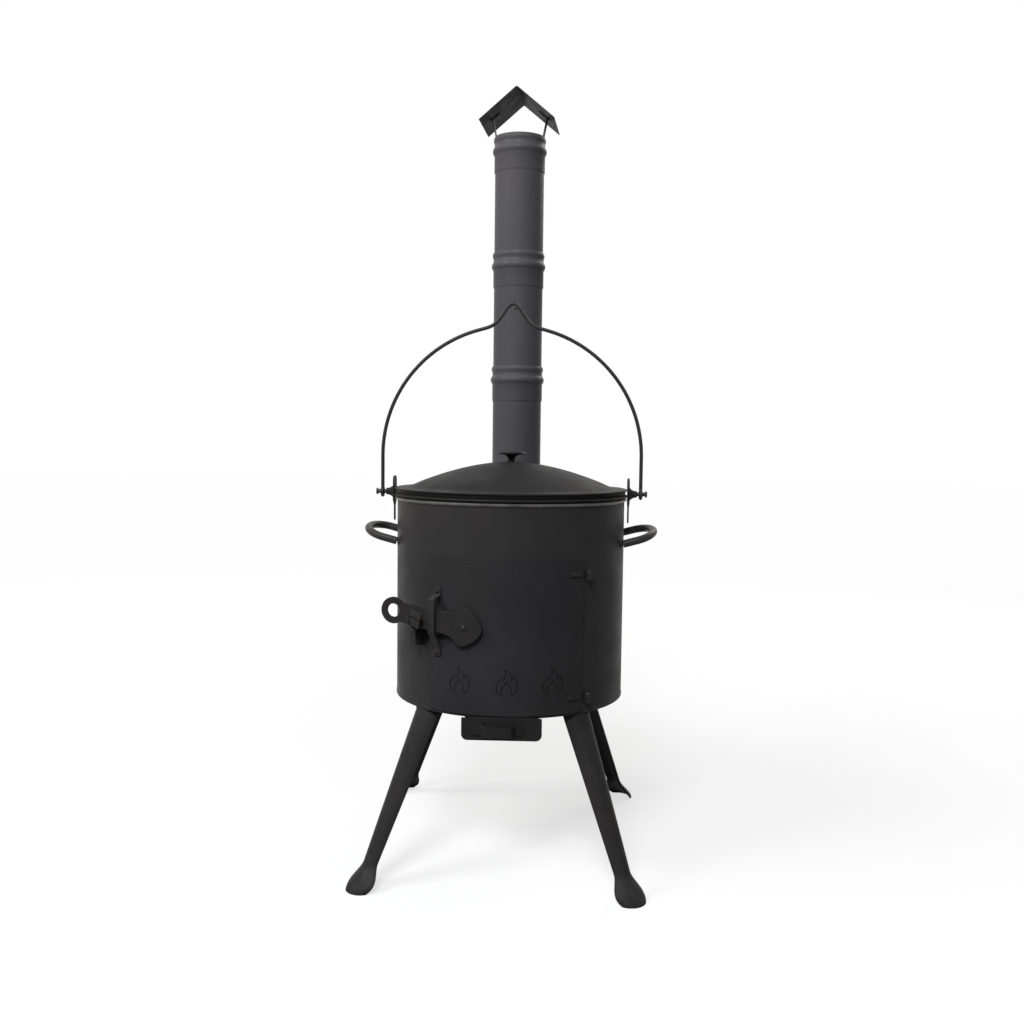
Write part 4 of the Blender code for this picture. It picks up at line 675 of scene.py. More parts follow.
# %% [markdown]
# ## Hinges
# Each hinge is two short barrels on one pin: the lower one welded to the wall, the upper one on a leaf
# that lies on the door. The door can be lifted off. Small beads of weld fill the foot of each barrel.

# %% Turn the hinges
HINGE_ANGLE = radians(41)
PIN_CAP = 0.0012
for end in ("top", "bottom"):
    upper_low, upper_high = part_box("door_knuckle_" + end)
    lower_low, lower_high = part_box("shell_knuckle_" + end)
    pin_low, pin_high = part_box("hinge_pin_" + end)
    axis = (lower_low + lower_high) / 2
    axis.z = 0
    radius = (lower_high.x - lower_low.x) / 2
    for name, body, low, high in (("door", "door", upper_low.z, upper_high.z),
                                  ("shell", "stove", lower_low.z, lower_high.z)):
        barrel = [(0.0024, low), (radius - 0.0007, low), (radius, low + 0.0007), (radius, high - 0.0007),
                  (radius - 0.0007, high), (0.0024, high)]
        bm = spin(barrel, 40, ring=True, place=placed(axis))
        if name == "door":
            back = acos((BODY_RADIUS + 0.0038) / (BODY_RADIUS + 0.0053))
            leaf = facing(HINGE_ANGLE - back, BODY_RADIUS + 0.0038, (low + high) / 2)
            add_block(bm, leaf @ placed((-0.0025, 0, 0)), 0.023, high - low, 0.002)
        piece("hinge_%s_%s" % (name, end), bm, body, "fittings_paint", ["%s_knuckle_%s" % (name, end)], edge=0.0004)
    head = pin_high.z - PIN_CAP
    pin = [(0, pin_high.z), (0.0018, pin_high.z - 0.0001), (0.0032, pin_high.z - 0.0005), (0.0036, head),
           (0.0022, head), (0.0022, pin_low.z + 0.0004), (0.0018, pin_low.z), (0, pin_low.z)]
    piece("hinge_peg_" + end, spin(pin, 32, place=placed(axis)), "stove", "fastener_steel", ["hinge_pin_" + end])
    foot = [on_wall(HINGE_ANGLE - 0.017, BODY_RADIUS + 0.0006, lower_low.z + 0.001 + i * 0.0014) for i in range(5)]
    piece("hinge_weld_" + end, weld(foot, 0.0012), "stove", "fittings_paint")

# %% [markdown]
# ## Latch
# A flat bar with a spear end turns on a rivet in the door. Its far end is a ring for a poker. The bar
# runs behind a bowed strap on the door and drops into a keeper on the wall.

# %% Cut the latch bar
LATCH_ANGLE = radians(-18.5)
LATCH_TILT = radians(8.8)
LATCH_REACH = 0.127
LATCH_INNER = DOOR_RADIUS + 0.0035
LATCH_THICKNESS = 0.004
washer_low, washer_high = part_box("latch_washer")
LATCH_Z = (washer_low.z + washer_high.z) / 2
SPEAR = [(0.0310, 0), (0.0298, 0.0058), (0.0255, 0.0128), (0.0175, 0.0212), (0.0085, 0.0280), (0.0005, 0.0312),
         (-0.0070, 0.0306), (-0.0125, 0.0268), (-0.0178, 0.0222), (-0.0264, 0.0186), (-0.1000, 0.0166)]
meeting = asin(0.0165 / 0.022) / radians(1)
ring_end = arc((-LATCH_REACH, 0), 0.022, meeting, 360 - meeting, 32)
upper = curve_through(SPEAR[:10], 3) + [SPEAR[10]]
bar_outline = upper + ring_end + [(x, -y) for x, y in reversed(upper[1:])]
latch_frame = facing(LATCH_ANGLE, LATCH_INNER + LATCH_THICKNESS / 2, LATCH_Z) @ placed((0, 0, 0), (-LATCH_TILT, "Z"))
bar_bm = cut_plate([bar_outline, circle((-LATCH_REACH, 0), 0.011), circle((0, 0), 0.0055, 24)], latch_frame)
piece("latch_lever", bar_bm, "latch", "latch_paint", ["latch_bar"], wall=LATCH_THICKNESS, wall_side=0, edge=0.0006)

# %% [markdown]
# The rivets have low domed heads. One function draws the half section of a rivet, and each is put on
# the wall with the frame from the start. The latch's rivet is flat and painted, with a bare nub.

# %% Turn the rivets and the washer


def rivet(shank, head, height, bottom, top):
    """Half section of a rivet with a dome on both sides of what it holds."""
    crown = [(head * cos(radians(a)), top + height * sin(radians(a)))
             for a in (90, 70, 50, 30, 12, 0)]
    return crown + [(shank, top), (shank, bottom), (head, bottom), (head, bottom - height / 4),
                    (head * 0.7, bottom - height / 2), (0, bottom - height / 2)]


rivet_frame = facing(LATCH_ANGLE, DOOR_RADIUS, LATCH_Z)
lever_top = 0.0035 + LATCH_THICKNESS + GAP
piece("latch_pivot", spin(rivet(0.005, 0.0070, 0.0008, -0.0031, lever_top), 48, place=rivet_frame), "door",
      "fastener_steel", ["latch_rivet"], paint="latch_paint")
nub_foot = lever_top + 0.0006
nub = [(0.0034 * cos(radians(a)), nub_foot + 0.0027 * sin(radians(a))) for a in range(90, -1, -15)]
piece("latch_pivot_nub", spin(nub + [(0, nub_foot)], 32, place=rivet_frame), "door", "fastener_steel")
spacer = [(0.0054, 0.0003), (0.0100, 0.0003), (0.0100, 0.0032), (0.0054, 0.0032)]
piece("latch_spacer", spin(spacer, 48, ring=True, place=rivet_frame), "door", "fittings_paint", ["latch_washer"],
      edge=0.0003)

# %% [markdown]
# The strap is bent from 2.5 mm flat bar. It stands off far enough for the bar to lift. Its tabs lie on
# the door, each held by a rivet.

# %% Bend the guide strap
GUIDE_ANGLE = radians(-33)
GUIDE_WIDTH, GUIDE_WALL = 0.0135, 0.0025
guide_low, guide_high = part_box("latch_guide")
guide_face = DOOR_RADIUS + GAP + GUIDE_WALL / 2
guide_bow = (LATCH_INNER + LATCH_THICKNESS) / cos(GUIDE_ANGLE - LATCH_ANGLE) + 0.0026 + GUIDE_WALL / 2
guide_path = [(guide_face, guide_low.z), (guide_face, guide_low.z + GUIDE_WIDTH), (guide_bow, LATCH_Z - 0.0115),
              (guide_bow, LATCH_Z + 0.0425), (guide_face, guide_high.z - GUIDE_WIDTH), (guide_face, guide_high.z)]
guide_place = placed(AXIS, (GUIDE_ANGLE - QUARTER, "Z"))
guide_bm = strap(guide_path, GUIDE_WIDTH, 0.0022, guide_place)
piece("latch_strap", guide_bm, "door", "fittings_paint", ["latch_guide"], wall=GUIDE_WALL, wall_side=0, edge=0.0005)
for end, z in (("lower", guide_low.z + GUIDE_WIDTH / 2), ("upper", guide_high.z - GUIDE_WIDTH / 2)):
    stud = rivet(0.002, 0.0040, 0.0018, -0.0027, 0.0031)
    piece("strap_rivet_" + end, spin(stud, 32, place=facing(GUIDE_ANGLE, DOOR_RADIUS, z)), "door", "fittings_paint",
          ["guide_rivet_" + end])

# %% [markdown]
# The keeper is a small hook of 4 mm plate, welded edge on to the wall: a ledge for the bar, a nose in
# front of it and a slanting back. Two slanted strips lie across the nose, in front of the bar.

# %% Cut the keeper
KEEPER_ANGLE = radians(-42.5)
keeper_low, keeper_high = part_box("latch_keeper")
KEEPER_WALL = 0.004
lean = LATCH_ANGLE - KEEPER_ANGLE
spread = KEEPER_WALL / 2 * sin(lean)
slot_in = (LATCH_INNER - spread) / cos(lean) - GAP
slot_out = (LATCH_INNER + LATCH_THICKNESS + spread) / cos(lean) + GAP
nose, leg_face, wall_face = slot_out + 0.0065, BODY_RADIUS + 0.022, BODY_RADIUS + GAP
ledge, toe = keeper_high.z - 0.0183, keeper_low.z
keeper_outline = [
    (wall_face, toe), (leg_face - 0.004, toe), (leg_face, toe + 0.004), (leg_face, ledge - 0.009),
    (nose, ledge + 0.003), (nose - 0.0016, keeper_high.z), (slot_out, keeper_high.z), (slot_out, ledge),
    (slot_in, ledge), (wall_face, ledge - (slot_in - wall_face) * tan(radians(24))),
]
keeper_place = placed(AXIS, (KEEPER_ANGLE - QUARTER, "Z"), (QUARTER, "X"))
piece("latch_hook", cut_plate([keeper_outline], keeper_place), "stove", "fittings_paint", ["latch_keeper"],
      wall=KEEPER_WALL, wall_side=0, edge=0.0006)
FACE_ANGLE, FACE_TILT = radians(-38.9), radians(-16)
FACE_HALF_LENGTH, FACE_HALF_HEIGHT, FACE_WALL = 0.0118, 0.0060, 0.0026
face_place = facing(FACE_ANGLE, slot_out + FACE_WALL, ledge + 0.0125) @ placed((0, 0, 0), (FACE_TILT, "Z"))
for name, y in (("upper", 0.0072), ("lower", -0.0072)):
    strip = rounded_box((-FACE_HALF_LENGTH, y - FACE_HALF_HEIGHT), (FACE_HALF_LENGTH, y + FACE_HALF_HEIGHT), 0.0012)
    piece("latch_hook_face_" + name, cut_plate([strip], face_place), "stove", "fittings_paint", wall=FACE_WALL,
          wall_side=0, edge=0.0004)
for side in (-1, 1):
    foot = [on_wall(KEEPER_ANGLE + side * 0.0115, BODY_RADIUS + 0.0004, toe + 0.002 + i * 0.004) for i in range(7)]
    piece("latch_hook_weld_%s" % ("left" if side < 0 else "right"), weld(foot, 0.0012), "stove", "fittings_paint")

# %% [markdown]
# ## Ash drawer
# A folded tray on two angle rails, with a wider front and a bent strap to pull it by. The front has
# round lower corners.

# %% Fold the drawer
front_low, front_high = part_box("ash_front")
front = (front_low + front_high) / 2
front_half = (front_high.x - front_low.x) / 2
DRAWER_WALL, DRAWER_CORNER = 0.0015, 0.010
corner_x, corner_z = front_half - DRAWER_CORNER, front_low.z + DRAWER_CORNER
front_outline = (arc((-corner_x, corner_z), DRAWER_CORNER, 180, 270, 8)
                 + arc((corner_x, corner_z), DRAWER_CORNER, 270, 360, 8)
                 + [(front_half, front_high.z), (-front_half, front_high.z)])
front_place = placed((front.x, front.y, 0), (QUARTER, "X"))
piece("drawer_front", cut_plate([front_outline], front_place), "ash_drawer", "drawer_paint", ["ash_front"],
      wall=DRAWER_WALL, wall_side=0, edge=0.0004)

tray_low, tray_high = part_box("ash_tray")
bm = bmesh.new()
add_block(bm, placed((tray_low + tray_high) / 2), *(tray_high - tray_low))
bmesh.ops.delete(bm, geom=[f for f in bm.faces if f.normal.z > 0.5], context="FACES")
round_edges(bm, [e for e in bm.edges if len(e.link_faces) == 2], 0.003, 4)
bmesh.ops.recalc_face_normals(bm, faces=bm.faces)
piece("drawer_tray", bm, "ash_drawer", "drawer_paint", ["ash_tray"], wall=DRAWER_WALL, edge=0.0003)

pull_low, pull_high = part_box("ash_pull")
pull = (pull_low + pull_high) / 2
pull_back, pull_front = pull_high.y - DRAWER_WALL / 2, pull_low.y + DRAWER_WALL / 2
pull_path = [(-0.0395, pull_back), (-0.0275, pull_back), (-0.0215, pull_front), (0.0215, pull_front),
             (0.0275, pull_back), (0.0395, pull_back)]
pull_bm = strap(pull_path, pull_high.z - pull_low.z, 0.002, placed((pull.x, 0, pull.z), (-QUARTER, "X")))
piece("drawer_pull", pull_bm, "ash_drawer", "drawer_paint", ["ash_pull"], wall=DRAWER_WALL, wall_side=0, edge=0.0004)

# %% [markdown]
# ## Legs
# Each leg is a tapered channel pressed from sheet, round side out, that flares into a foot like a
# hoof. A flat grid is bent over its width and widened row by row, then gets its wall, and the sole is
# set flat on the floor. A tab at the top goes under the pan and takes a bolt. The legs aren't set quite
# evenly round the stove.

# %% Press the legs
LEG_DEGREES = {"front_left": -44.8, "front_right": 39.5, "rear_left": -137.5, "rear_right": 137.2}
LEG_ANGLES = {name: radians(degrees) for name, degrees in LEG_DEGREES.items()}
LEG_TOP_RADIUS = BODY_RADIUS - 0.0005
LEG_FOOT_RADIUS = LEG_TOP_RADIUS + 0.131
FOOT_HEIGHT, FOOT_KICK = 0.040, 0.015
LEG_WALL = 0.004
LEG_WRAP = radians(68)


def ease(share):
    """A smooth step from 0 to 1."""
    share = min(max(share, 0), 1)
    return share * share * (3 - 2 * share)


def leg_rows():
    """Down the leg: height, distance of its outer face from the axis, width."""
    lean_out = (LEG_FOOT_RADIUS - LEG_TOP_RADIUS) / BODY_BOTTOM
    top = BODY_BOTTOM - GAP
    shares = [1 - i / 14 for i in range(14)]
    rows = [(FOOT_HEIGHT + (top - FOOT_HEIGHT) * s, 0.034 + 0.022 * s, 0.0) for s in shares]
    for i in range(17):
        share = 1 - i / 16
        width = 0.034 + 0.024 * ease((1 - share) * 4 / 3)
        toe = 1 - 0.16 * max(0, 1 - share * 4) ** 2
        rows.append((FOOT_HEIGHT * share, width * toe, FOOT_KICK * ease(1 - share)))
    return [(z, LEG_FOOT_RADIUS - lean_out * z + kick, width) for z, width, kick in rows]


def leg_shape(angle):
    """The channel, in place."""
    rows, columns = leg_rows(), 16
    bm = bmesh.new()
    bmesh.ops.create_grid(bm, x_segments=columns, y_segments=len(rows) - 1, size=1)
    for vert in bm.verts:
        z, radius, width = rows[round((1 - vert.co.y) / 2 * (len(rows) - 1))]
        bent = vert.co.x * LEG_WRAP
        depth = width * 0.34 * (1 - cos(bent)) / (1 - cos(LEG_WRAP))
        vert.co = (width / 2 * sin(bent) / sin(LEG_WRAP), depth - radius, z)
    bmesh.ops.transform(bm, verts=bm.verts, matrix=placed(AXIS, (angle, "Z")))
    out = outward(angle)
    middle = min(bm.faces, key=lambda f: abs((f.calc_center_median() - AXIS).cross(out).z))
    if middle.normal.dot(out) < 0:
        bmesh.ops.reverse_faces(bm, faces=bm.faces)
    bmesh.ops.solidify(bm, geom=bm.faces, thickness=LEG_WALL)
    for vert in bm.verts:
        vert.co.z = max(vert.co.z, 0)
    bmesh.ops.recalc_face_normals(bm, faces=bm.faces)
    return bm


for name, angle in LEG_ANGLES.items():
    piece("pressed_leg_" + name, leg_shape(angle), "stove", "leg_paint", ["leg_" + name], edge=0.0008, segments=3)
    tab = bmesh.new()
    add_block(tab, facing(angle, LEG_TOP_RADIUS - 0.025, BODY_BOTTOM - 0.0023), 0.034, LEG_WALL, 0.046)
    upright = [e for e in tab.edges if abs((e.verts[0].co - e.verts[1].co).z) > 0.003
               and (e.verts[0].co - AXIS).xy.length < LEG_TOP_RADIUS - 0.03]
    round_edges(tab, upright, 0.008, 6)
    piece("leg_tab_" + name, tab, "stove", "leg_paint", edge=0.0005)

# %% [markdown]
# A hexagon bolt holds each tab: a cone with six sides makes the head, and a bevel its chamfer.

# %% Bolt the legs
for name, angle in LEG_ANGLES.items():
    bolt_low, bolt_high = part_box("leg_bolt_" + name)
    bolt = (bolt_low + bolt_high) / 2
    place = placed((bolt.x, bolt.y, 0), (angle, "Z"))
    bm = bmesh.new()
    for low, high in ((bolt_low.z, bolt_low.z + 0.004), (bolt_high.z - 0.004, bolt_high.z)):
        bmesh.ops.create_cone(bm, cap_ends=True, segments=6, radius1=0.0065, radius2=0.0065, depth=high - low,
                              matrix=place @ placed((0, 0, (low + high) / 2)))
    top, foot = bolt_high.z - 0.001, bolt_low.z + 0.001
    shank = [(0, top), (0.003, top), (0.003, foot), (0, foot)]
    spin(shank, 20, place=place, bm=bm)
    piece("hex_bolt_" + name, bm, "stove", "fastener_steel", ["leg_bolt_" + name], edge=0.0005)

# %% [markdown]
# ## Side handles
# Round bar bent to a loop and tilted up, its ends welded to the wall. The bend is a half ellipse, so
# the circle is carried along straight, round and straight again, with a ring of weld at each end.

# %% Bend the side handles
HANDLE_TILT = radians(15)
HANDLE_ROLL = radians(5)
HANDLE_BAR = 0.0067


def handle_height(along, y):
    """Height of a loop's middle line; its front is a little lower."""
    return BODY_TOP - 0.071 + along * sin(HANDLE_TILT) + y * tan(HANDLE_ROLL)


HANDLE_HALF = 0.052
HANDLE_START = 0.030
handle_end = (0.059 - HANDLE_BAR + HANDLE_START) / cos(HANDLE_TILT)
straight = handle_end * 0.25 + HANDLE_START
for side, sign in (("left", -1), ("right", 1)):
    loop = [(0.027, -HANDLE_HALF)]
    for step in range(41):
        turn = pi * step / 40
        loop.append((straight + (handle_end - straight) * sin(turn), -HANDLE_HALF * cos(turn)))
    loop.append((0.027, HANDLE_HALF))
    path = [AXIS + Vector((sign * (BODY_RADIUS - HANDLE_START + along * cos(HANDLE_TILT)), y,
                           handle_height(along - HANDLE_START, y))) for along, y in loop]
    piece("carry_loop_" + side, swept(path, HANDLE_BAR, 24), "stove", "bar_paint", ["side_handle_" + side])
    for end, y in (("front", -HANDLE_HALF), ("rear", HANDLE_HALF)):
        across = sqrt(BODY_RADIUS ** 2 - y ** 2)
        middle = AXIS + Vector((sign * across, y, handle_height((across - BODY_RADIUS) / cos(HANDLE_TILT), y)))
        normal = Vector((sign * across, y, 0)).normalized()
        bead = oval(middle, Vector((-normal.y, normal.x, 0)) * 0.0070, Vector((0, 0, 0.0066)), 28)
        piece("handle_weld_%s_%s" % (side, end), swept(bead, 0.0013, 8, loop=True), "stove", "bar_paint")

# %% [markdown]
# ## The pot
# A cast bowl that hangs by its flange on the firebox's rim. Only the flange shows with the lid on. Its
# edge has a bead between two dark grooves. The bowl is smooth inside and has the casting's rough skin.

# %% Spin the pot
pot_low, pot_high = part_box("pot")
FLANGE_RADIUS = pot_high.x
POT_RADIUS, POT_WALL = 0.190, 0.004
FLANGE_BOTTOM = pot_high.z - 0.0065


def bowl(radius, depth):
    """Points up the round of the bowl, from its lowest point to its mouth."""
    turns = [radians(a) for a in range(0, 91, 3)]
    return [(radius * sin(t), FLANGE_BOTTOM - depth * cos(t)) for t in turns]


pot_depth = FLANGE_BOTTOM - pot_low.z
bowl_out = bowl(POT_RADIUS, pot_depth)[::-1]
bowl_in = bowl(POT_RADIUS - POT_WALL, pot_depth - POT_WALL)
BEAD_DEPTH = 0.0036
inner_edge = [(POT_RADIUS - POT_WALL, pot_high.z - 0.0012), (POT_RADIUS - POT_WALL + 0.0012, pot_high.z)]
upper_edge = from_corner(FLANGE_RADIUS, pot_high.z, (-BEAD_DEPTH - 0.0006, 0), (-BEAD_DEPTH, -0.0004),
                         (-BEAD_DEPTH, -0.0016), (-0.0009, -0.0018), (0, -0.0026))
lower_edge = from_corner(FLANGE_RADIUS, FLANGE_BOTTOM, (0, 0.0029), (-0.0009, 0.0021), (-BEAD_DEPTH, 0.0018),
                         (-BEAD_DEPTH, 0.0004), (-BEAD_DEPTH - 0.0006, 0))
pot_section = bowl_in + inner_edge + upper_edge + lower_edge + bowl_out
piece("cauldron_bowl", spin(pot_section, 180), "cauldron", "pot_iron", ["pot"])

# %% [markdown]
# ## The lid
# A shallow dome, pressed with an upright edge. Its section is a smooth line through heights read from
# the photograph. The lip under it drops into the pot.

# %% Spin the lid
lid_low, lid_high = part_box("lid")
LID_RADIUS = lid_high.x
LID_EDGE_TOP = pot_high.z + GAP + 0.0087
LID_RIM_RADIUS = 0.180
LID_RIM_RISE = 0.0035


def dome(radius):
    """Height of the lid's upper face: a crown, and a nearly flat rim that it runs out into."""
    foot = LID_EDGE_TOP + LID_RIM_RISE * (1 - ease((radius - 0.150) / (LID_RADIUS - 0.150)))
    return foot + (lid_high.z - LID_EDGE_TOP - LID_RIM_RISE) * max(0, 1 - (radius / LID_RIM_RADIUS) ** 1.9) ** 1.12


top_line = [(r, dome(r)) for r in (LID_RADIUS * i / 40 for i in range(40))]
edge_line = from_corner(LID_RADIUS, LID_EDGE_TOP, (-0.0010, -0.0001), (-0.0002, -0.0008), (0, -0.0018),
                        (-0.0008, -0.0028), (-0.0024, -0.0038))
edge_line += from_corner(LID_RADIUS, pot_high.z, (-0.0034, 0.0012), (-0.0044, 0.0003))
LIP_OUTER, LIP_INNER = 0.1845, 0.1815
lip = [(LIP_OUTER, pot_high.z + GAP), (LIP_OUTER, lid_low.z), (LIP_INNER, lid_low.z)]
under_line = [(r, dome(r) - 0.003) for r in (LIP_INNER * i / 30 for i in range(29, -1, -1))]
piece("lid_dome", spin(top_line + edge_line + lip + under_line, 180), "lid", "lid_paint", ["lid"])

# %% [markdown]
# The knob is a dished disc on a waisted stem, turned in one piece, with a screw from below.

# %% Turn the knob
knob_low, knob_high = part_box("lid_knob")
DISC_HEIGHT = 0.0044
disc = from_corner(0, knob_high.z, (0, -0.0014), (0.011, -0.0014), (0.016, -0.0006), (0.020, 0), (0.0232, -0.0002),
                   (0.024, -0.0010))
stem = from_corner(0, knob_high.z - DISC_HEIGHT, (0.024, 0.0014), (0.0230, 0.0003), (0.0215, 0), (0.0145, -0.0002),
                   (0.0105, -0.0015), (0.0078, -0.0042), (0.0066, -0.0075))
knob_section = disc + stem + [(0.0068, knob_low.z + 0.002), (0.0085, knob_low.z), (0, knob_low.z)]
piece("lid_grip", spin(knob_section, 64), "lid", "knob_paint", ["lid_knob"])
screw_low, screw_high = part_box("knob_screw")
screw = from_corner(0, screw_low.z, (0, 0.003), (0.0025, 0.003), (0.006, 0.0029), (0.0056, 0.0012),
                    (0.0035, 0.0002), (0, 0))
piece("lid_screw", spin(screw, 40), "lid", "fastener_steel", ["knob_screw"])

# %% [markdown]
# ## Ears
# Each ear is a plate on the pot's flange with a prong beside the lid, a narrow tail beside the wall
# and a flared boss. A headed pin in the boss carries the bail.

# %% Cut the ears
ear_low, ear_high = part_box("ear_right")
EAR_INNER = FLANGE_RADIUS + GAP
EAR_WALL = 0.0026
PIN_Z = pot_high.z
shoulder = FLANGE_BOTTOM - 0.009
right_half = [(0.004, ear_low.z + 0.002), *from_corner(0, shoulder, (0.004, -0.010), (0.0052, -0.0075),
              (0.0155, -0.001), (0.017, 0.0015)), *arc((0.007, ear_high.z - 0.010), 0.010, 0, 90, 8)]
ear_outline = [(0.0025, ear_low.z)] + right_half + [(-y, z) for y, z in reversed(right_half)] + [(-0.0025, ear_low.z)]
boss_line = [(0.0148, 0), (0.0118, 0.0012), (0.0094, 0.0032), (0.0076, 0.0060), (0.0062, 0.0088), (0.0060, 0.0130),
             (0.0054, 0.0136), (0, 0.0136)]
BOSS_HEIGHT = boss_line[-1][1]
peg = [(0, 0), (0.0037, 0), (0.0037, 0.0146), (0.0058, 0.0146), (0.0058, 0.0166), (0.0048, 0.0176), (0.0025, 0.0180),
       (0, 0.0180)]


def outside(sign, distance, z=PIN_Z):
    """A point beside the pot's flange, on the left or the right."""
    return AXIS + Vector((sign * (EAR_INNER + distance), 0, z))


for side, sign in (("left", -1), ("right", 1)):
    plate_place = placed(outside(sign, EAR_WALL / 2, 0), (QUARTER, "Z"), (QUARTER, "X"))
    piece("ear_plate_" + side, cut_plate([ear_outline], plate_place), "cauldron", "ear_iron", ["ear_" + side],
          wall=EAR_WALL, wall_side=0, edge=0.0006)
    boss_place = placed(outside(sign, EAR_WALL), (sign * QUARTER, "Y"))
    boss = spin([(0, -0.0005), (0.0148, -0.0005)] + boss_line, 48, place=boss_place)
    piece("ear_boss_" + side, boss, "cauldron", "ear_iron")
    peg_place = placed(outside(sign, EAR_WALL + BOSS_HEIGHT + GAP), (sign * QUARTER, "Y"))
    piece("ear_peg_" + side, spin(peg, 40, place=peg_place), "cauldron", "fastener_steel", ["bail_pin_" + side])

# %% [markdown]
# ## The bail
# One length of wire: an eye round each pin, two straight legs, a round arch and a hump in its middle,
# where a hook holds it. The path is written as heights over the width, and the circle is carried
# along it. Each eye is a ring of the same wire.

# %% Bend the bail
bail_low, bail_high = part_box("bail")
WIRE, EYE_WIRE, EYE_RADIUS = 0.0032, 0.0030, 0.0072
BAIL_RADIUS = bail_high.x - 0.003
BAIL_LEG = 0.0645
HUMP_HALF = 0.054
low_turn = acos(HUMP_HALF / BAIL_RADIUS)
arch_xs = [BAIL_RADIUS * cos(low_turn * i / 30) for i in range(30)]
arch_xs += [HUMP_HALF * (1 - 2 * i / 48) for i in range(49)]
arch_xs += [-x for x in reversed(arch_xs[:30])]
bail_path = [(BAIL_RADIUS, 0, 0.0070 + i * 0.0115) for i in range(5)]
for x in arch_xs:
    rise = sqrt(max(0, BAIL_RADIUS ** 2 - x ** 2))
    bail_path.append((x, 0, BAIL_LEG + rise + 0.038 * exp(-(x / 0.0225) ** 2)))
bail_path += [(-x, y, z) for x, y, z in reversed(bail_path[:5])]
wire_bm = swept([AXIS + Vector((0, 0, PIN_Z)) + Vector(p) for p in bail_path], WIRE, 20)
for sign in (-1, 1):
    centre = AXIS + Vector((sign * BAIL_RADIUS, 0, PIN_Z))
    eye = oval(centre, Vector((0, EYE_RADIUS, 0)), Vector((0, 0, EYE_RADIUS)), 32)
    swept(eye, EYE_WIRE, 16, bm=wire_bm, loop=True)
piece("bail_wire", wire_bm, "bail", "bail_wire", ["bail"])

# %% [markdown]
# ## Flue and chimney
# An elbow leaves the back of the firebox through a riveted collar and bends up into a socket. Three
# equal pipes stand in each other. Every upper end has a rolled lip, a round bead under it, and a step
# where the socket ends. The pipes are folded from sheet, so each has a lock seam down its back.

# %% Bend the elbow
FLUE_Y = AXIS.y + BODY_RADIUS + 0.065
SOCKET_RADIUS = 0.0500
stub_low, stub_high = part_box("flue_stub")
BEND = 0.053
elbow_path = [(0, AXIS.y + BODY_RADIUS - 0.0135, FLUE_Z)]
elbow_path += [(0, FLUE_Y - BEND + BEND * sin(t), FLUE_Z + BEND - BEND * cos(t))
               for t in (QUARTER * i / 30 for i in range(31))]
elbow_path.append((0, FLUE_Y, stub_low.z - GAP))
elbow_bm = swept(elbow_path, PIPE_RADIUS, 72, caps=False)
piece("smoke_elbow", elbow_bm, "stove", "flue_paint", ["flue_elbow"], wall=PIPE_WALL)
COLLAR_FACE = BODY_RADIUS + 0.0018
collar = [circle((pi * BODY_RADIUS, FLUE_Z), radius, 72)
          for radius in ((collar_high.x - collar_low.x) / 2, PIPE_RADIUS + 0.0004)]
collar_bm = rolled(collar, COLLAR_FACE, 0.004)
piece("smoke_collar", collar_bm, "stove", "body_paint", ["flue_collar"], wall=0.0015, edge=0.0004)
STUD_CIRCLE = 0.0565
stud = [(0, 0.0018), (0.0015, 0.0016), (0.0030, 0.0008), (0.0034, 0), (0, 0)]
for number in range(6):
    turn = tau * (number + 0.5) / 6
    stud_angle = pi + STUD_CIRCLE * cos(turn) / BODY_RADIUS
    stud_place = facing(stud_angle, COLLAR_FACE, FLUE_Z + STUD_CIRCLE * sin(turn))
    piece("collar_rivet_%d" % (number + 1), spin(stud, 24, place=stud_place), "stove", "fastener_steel")

# %% [markdown]
# The pipes' section goes down the outside from the lip and comes back up the inside. Swellings are
# half sine waves, which is the shape that a rolling die leaves.

# %% Spin the pipes


def swelling(radius, top, drop, height, swell, steps):
    """Points down a rounded swelling."""
    return [(radius + swell * sin(pi * i / steps), top - drop - height * (i / steps - 0.5))
            for i in range(steps + 1)]


def pipe_section(bottom, top):
    """Closed half section of a pipe with a socket at its upper end."""
    outer = swelling(SOCKET_RADIUS, top, 0.0060, 0.0118, 0.0017, 8)
    outer += swelling(SOCKET_RADIUS, top, 0.027, 0.017, 0.0035, 12)
    outer += [(SOCKET_RADIUS, top - 0.0665), (SOCKET_RADIUS - 0.0003, top - 0.0680),
              (PIPE_RADIUS + 0.0002, top - 0.0698), (PIPE_RADIUS, top - 0.0712), (PIPE_RADIUS, bottom)]
    bore, socket = PIPE_RADIUS - PIPE_WALL, SOCKET_RADIUS - PIPE_WALL
    inner = [(bore, bottom), (bore, top - 0.0705), (socket, top - 0.0680)]
    inner += swelling(socket, top, 0.027, 0.017, 0.0035, 8)[::-1]
    return outer + inner + [(socket, top), (socket + PIPE_WALL / 2, top)]


PIPE_AT = placed((0, FLUE_Y, 0))
SEAM_ANGLE = radians(150)
for name in ("flue_stub", "chimney_pipe_lower", "chimney_pipe_middle", "chimney_pipe_upper"):
    low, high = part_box(name)
    body = "stove" if name == "flue_stub" else name
    bm = spin(pipe_section(low.z, high.z), 96, ring=True, place=PIPE_AT)
    new_name = "smoke_" + name.split("_")[-1]
    piece(new_name, bm, body, "flue_paint", [name])
    if name != "flue_stub":
        foot, top = low.z + 0.072, high.z - 0.074
        seam_middle = Vector((0, FLUE_Y, (foot + top) / 2)) + outward(SEAM_ANGLE) * (PIPE_RADIUS + 0.0001)
        line = bmesh.new()
        add_block(line, placed(seam_middle, (SEAM_ANGLE, "Z")), 0.007, PIPE_WALL, top - foot)
        piece(new_name + "_seam", line, body, "flue_paint", edge=0.0005, segments=3)

# %% [markdown]
# One small screw shows on the front of the middle pipe, just below the bail's hump.

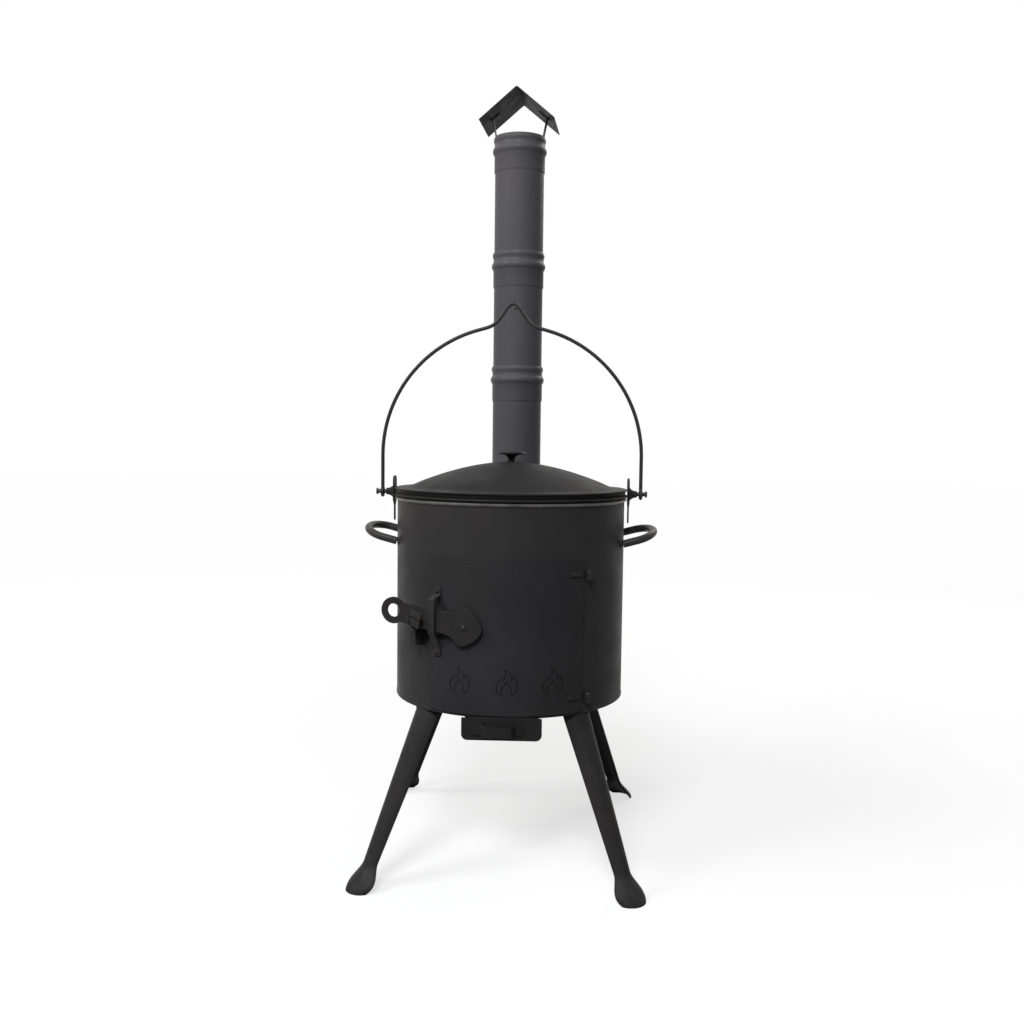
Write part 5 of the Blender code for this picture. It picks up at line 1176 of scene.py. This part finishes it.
# %% Set the pipe's screw
SCREW_ANGLE, SCREW_Z = radians(-3), 0.979
screw_spot = Vector((0, FLUE_Y, SCREW_Z)) + outward(SCREW_ANGLE) * (PIPE_RADIUS + 0.0002)
screw_place = placed(screw_spot, (SCREW_ANGLE, "Z"), (QUARTER, "X"))
head = [(0, 0.0016), (0.0018, 0.0015), (0.0032, 0.0009), (0.0036, 0), (0, 0)]
piece("pipe_screw", spin(head, 28, place=screw_place), "chimney_pipe_middle", "fastener_steel")

# %% [markdown]
# ## The cap
# A plate folded to a gable keeps the rain out. Two bent straps carry it from inside the pipe's mouth,
# with a rivet through each wing. The cap sits slightly turned, so all of it is made square and then
# turned together.

# %% Fold the cap
top_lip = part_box("chimney_pipe_upper")[1].z
CAP_SLOPE = radians(40)
CAP_RISE, CAP_HALF, CAP_LONG = 0.083, 0.073, 0.120
CAP_WALL = 0.0015
CAP_AT = placed((0, FLUE_Y, top_lip), (radians(-5.5), "Z"))
drop = CAP_HALF * tan(CAP_SLOPE)
roof_path = [(-CAP_HALF, CAP_RISE - drop), (0, CAP_RISE), (CAP_HALF, CAP_RISE - drop)]
piece("rain_roof", strap(roof_path, CAP_LONG, 0.003, CAP_AT), "cap", "cap_paint", ["cap_roof"], wall=CAP_WALL,
      wall_side=0, edge=0.0004)


def under_wing(x, below):
    """Height under a wing, less what lies against it."""
    return CAP_RISE - x * tan(CAP_SLOPE) - (CAP_WALL / 2 + below) / cos(CAP_SLOPE)


STRAP_WIDTH = 0.020
STRAP_GAP = CAP_WALL / 2 + GAP
strap_leg = sqrt((SOCKET_RADIUS - PIPE_WALL) ** 2 - (STRAP_WIDTH / 2) ** 2) - 0.0006 - CAP_WALL / 2
strap_bend = strap_leg + 0.007
strap_end = strap_bend - STRAP_WIDTH * cos(CAP_SLOPE)
for side, sign in (("left", -1), ("right", 1)):
    path = [(strap_leg, -0.030), (strap_leg, 0)] + [(x, under_wing(x, STRAP_GAP)) for x in (strap_bend, strap_end)]
    bent = strap([(sign * x, z) for x, z in path], STRAP_WIDTH, 0.0015, CAP_AT)
    piece("rain_strap_" + side, bent, "cap", "cap_paint", ["cap_strap_" + side], wall=CAP_WALL, wall_side=0,
          edge=0.0003)
    x = (strap_bend + strap_end) / 2
    wing = CAP_AT @ placed((sign * x, 0, CAP_RISE - x * tan(CAP_SLOPE)), (sign * CAP_SLOPE, "Y"))
    stud = spin(rivet(0.002, 0.0040, 0.0018, -0.0028, 0.0011), 28, place=wing)
    piece("rain_rivet_" + side, stud, "cap", "fastener_steel", ["cap_rivet_" + side])

# %% [markdown]
# ## What stays
# The grate and the drawer's rails keep their plain solids, because their shapes are right and they sit
# in the dark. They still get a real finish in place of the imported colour.

# %% Paint the solids that stay
replaced = {name for made in bpy.data.objects for name in made.get("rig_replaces", [])}
slots = {row["node"]: row["material_slot"] for row in frame["record"]["subparts"]}
for name, solid in solids.items():
    if name in replaced:
        continue
    solid.data.materials.clear()
    solid.data.materials.append(PAINT[slots[name]])
    print("kept:", name, "in", slots[name])
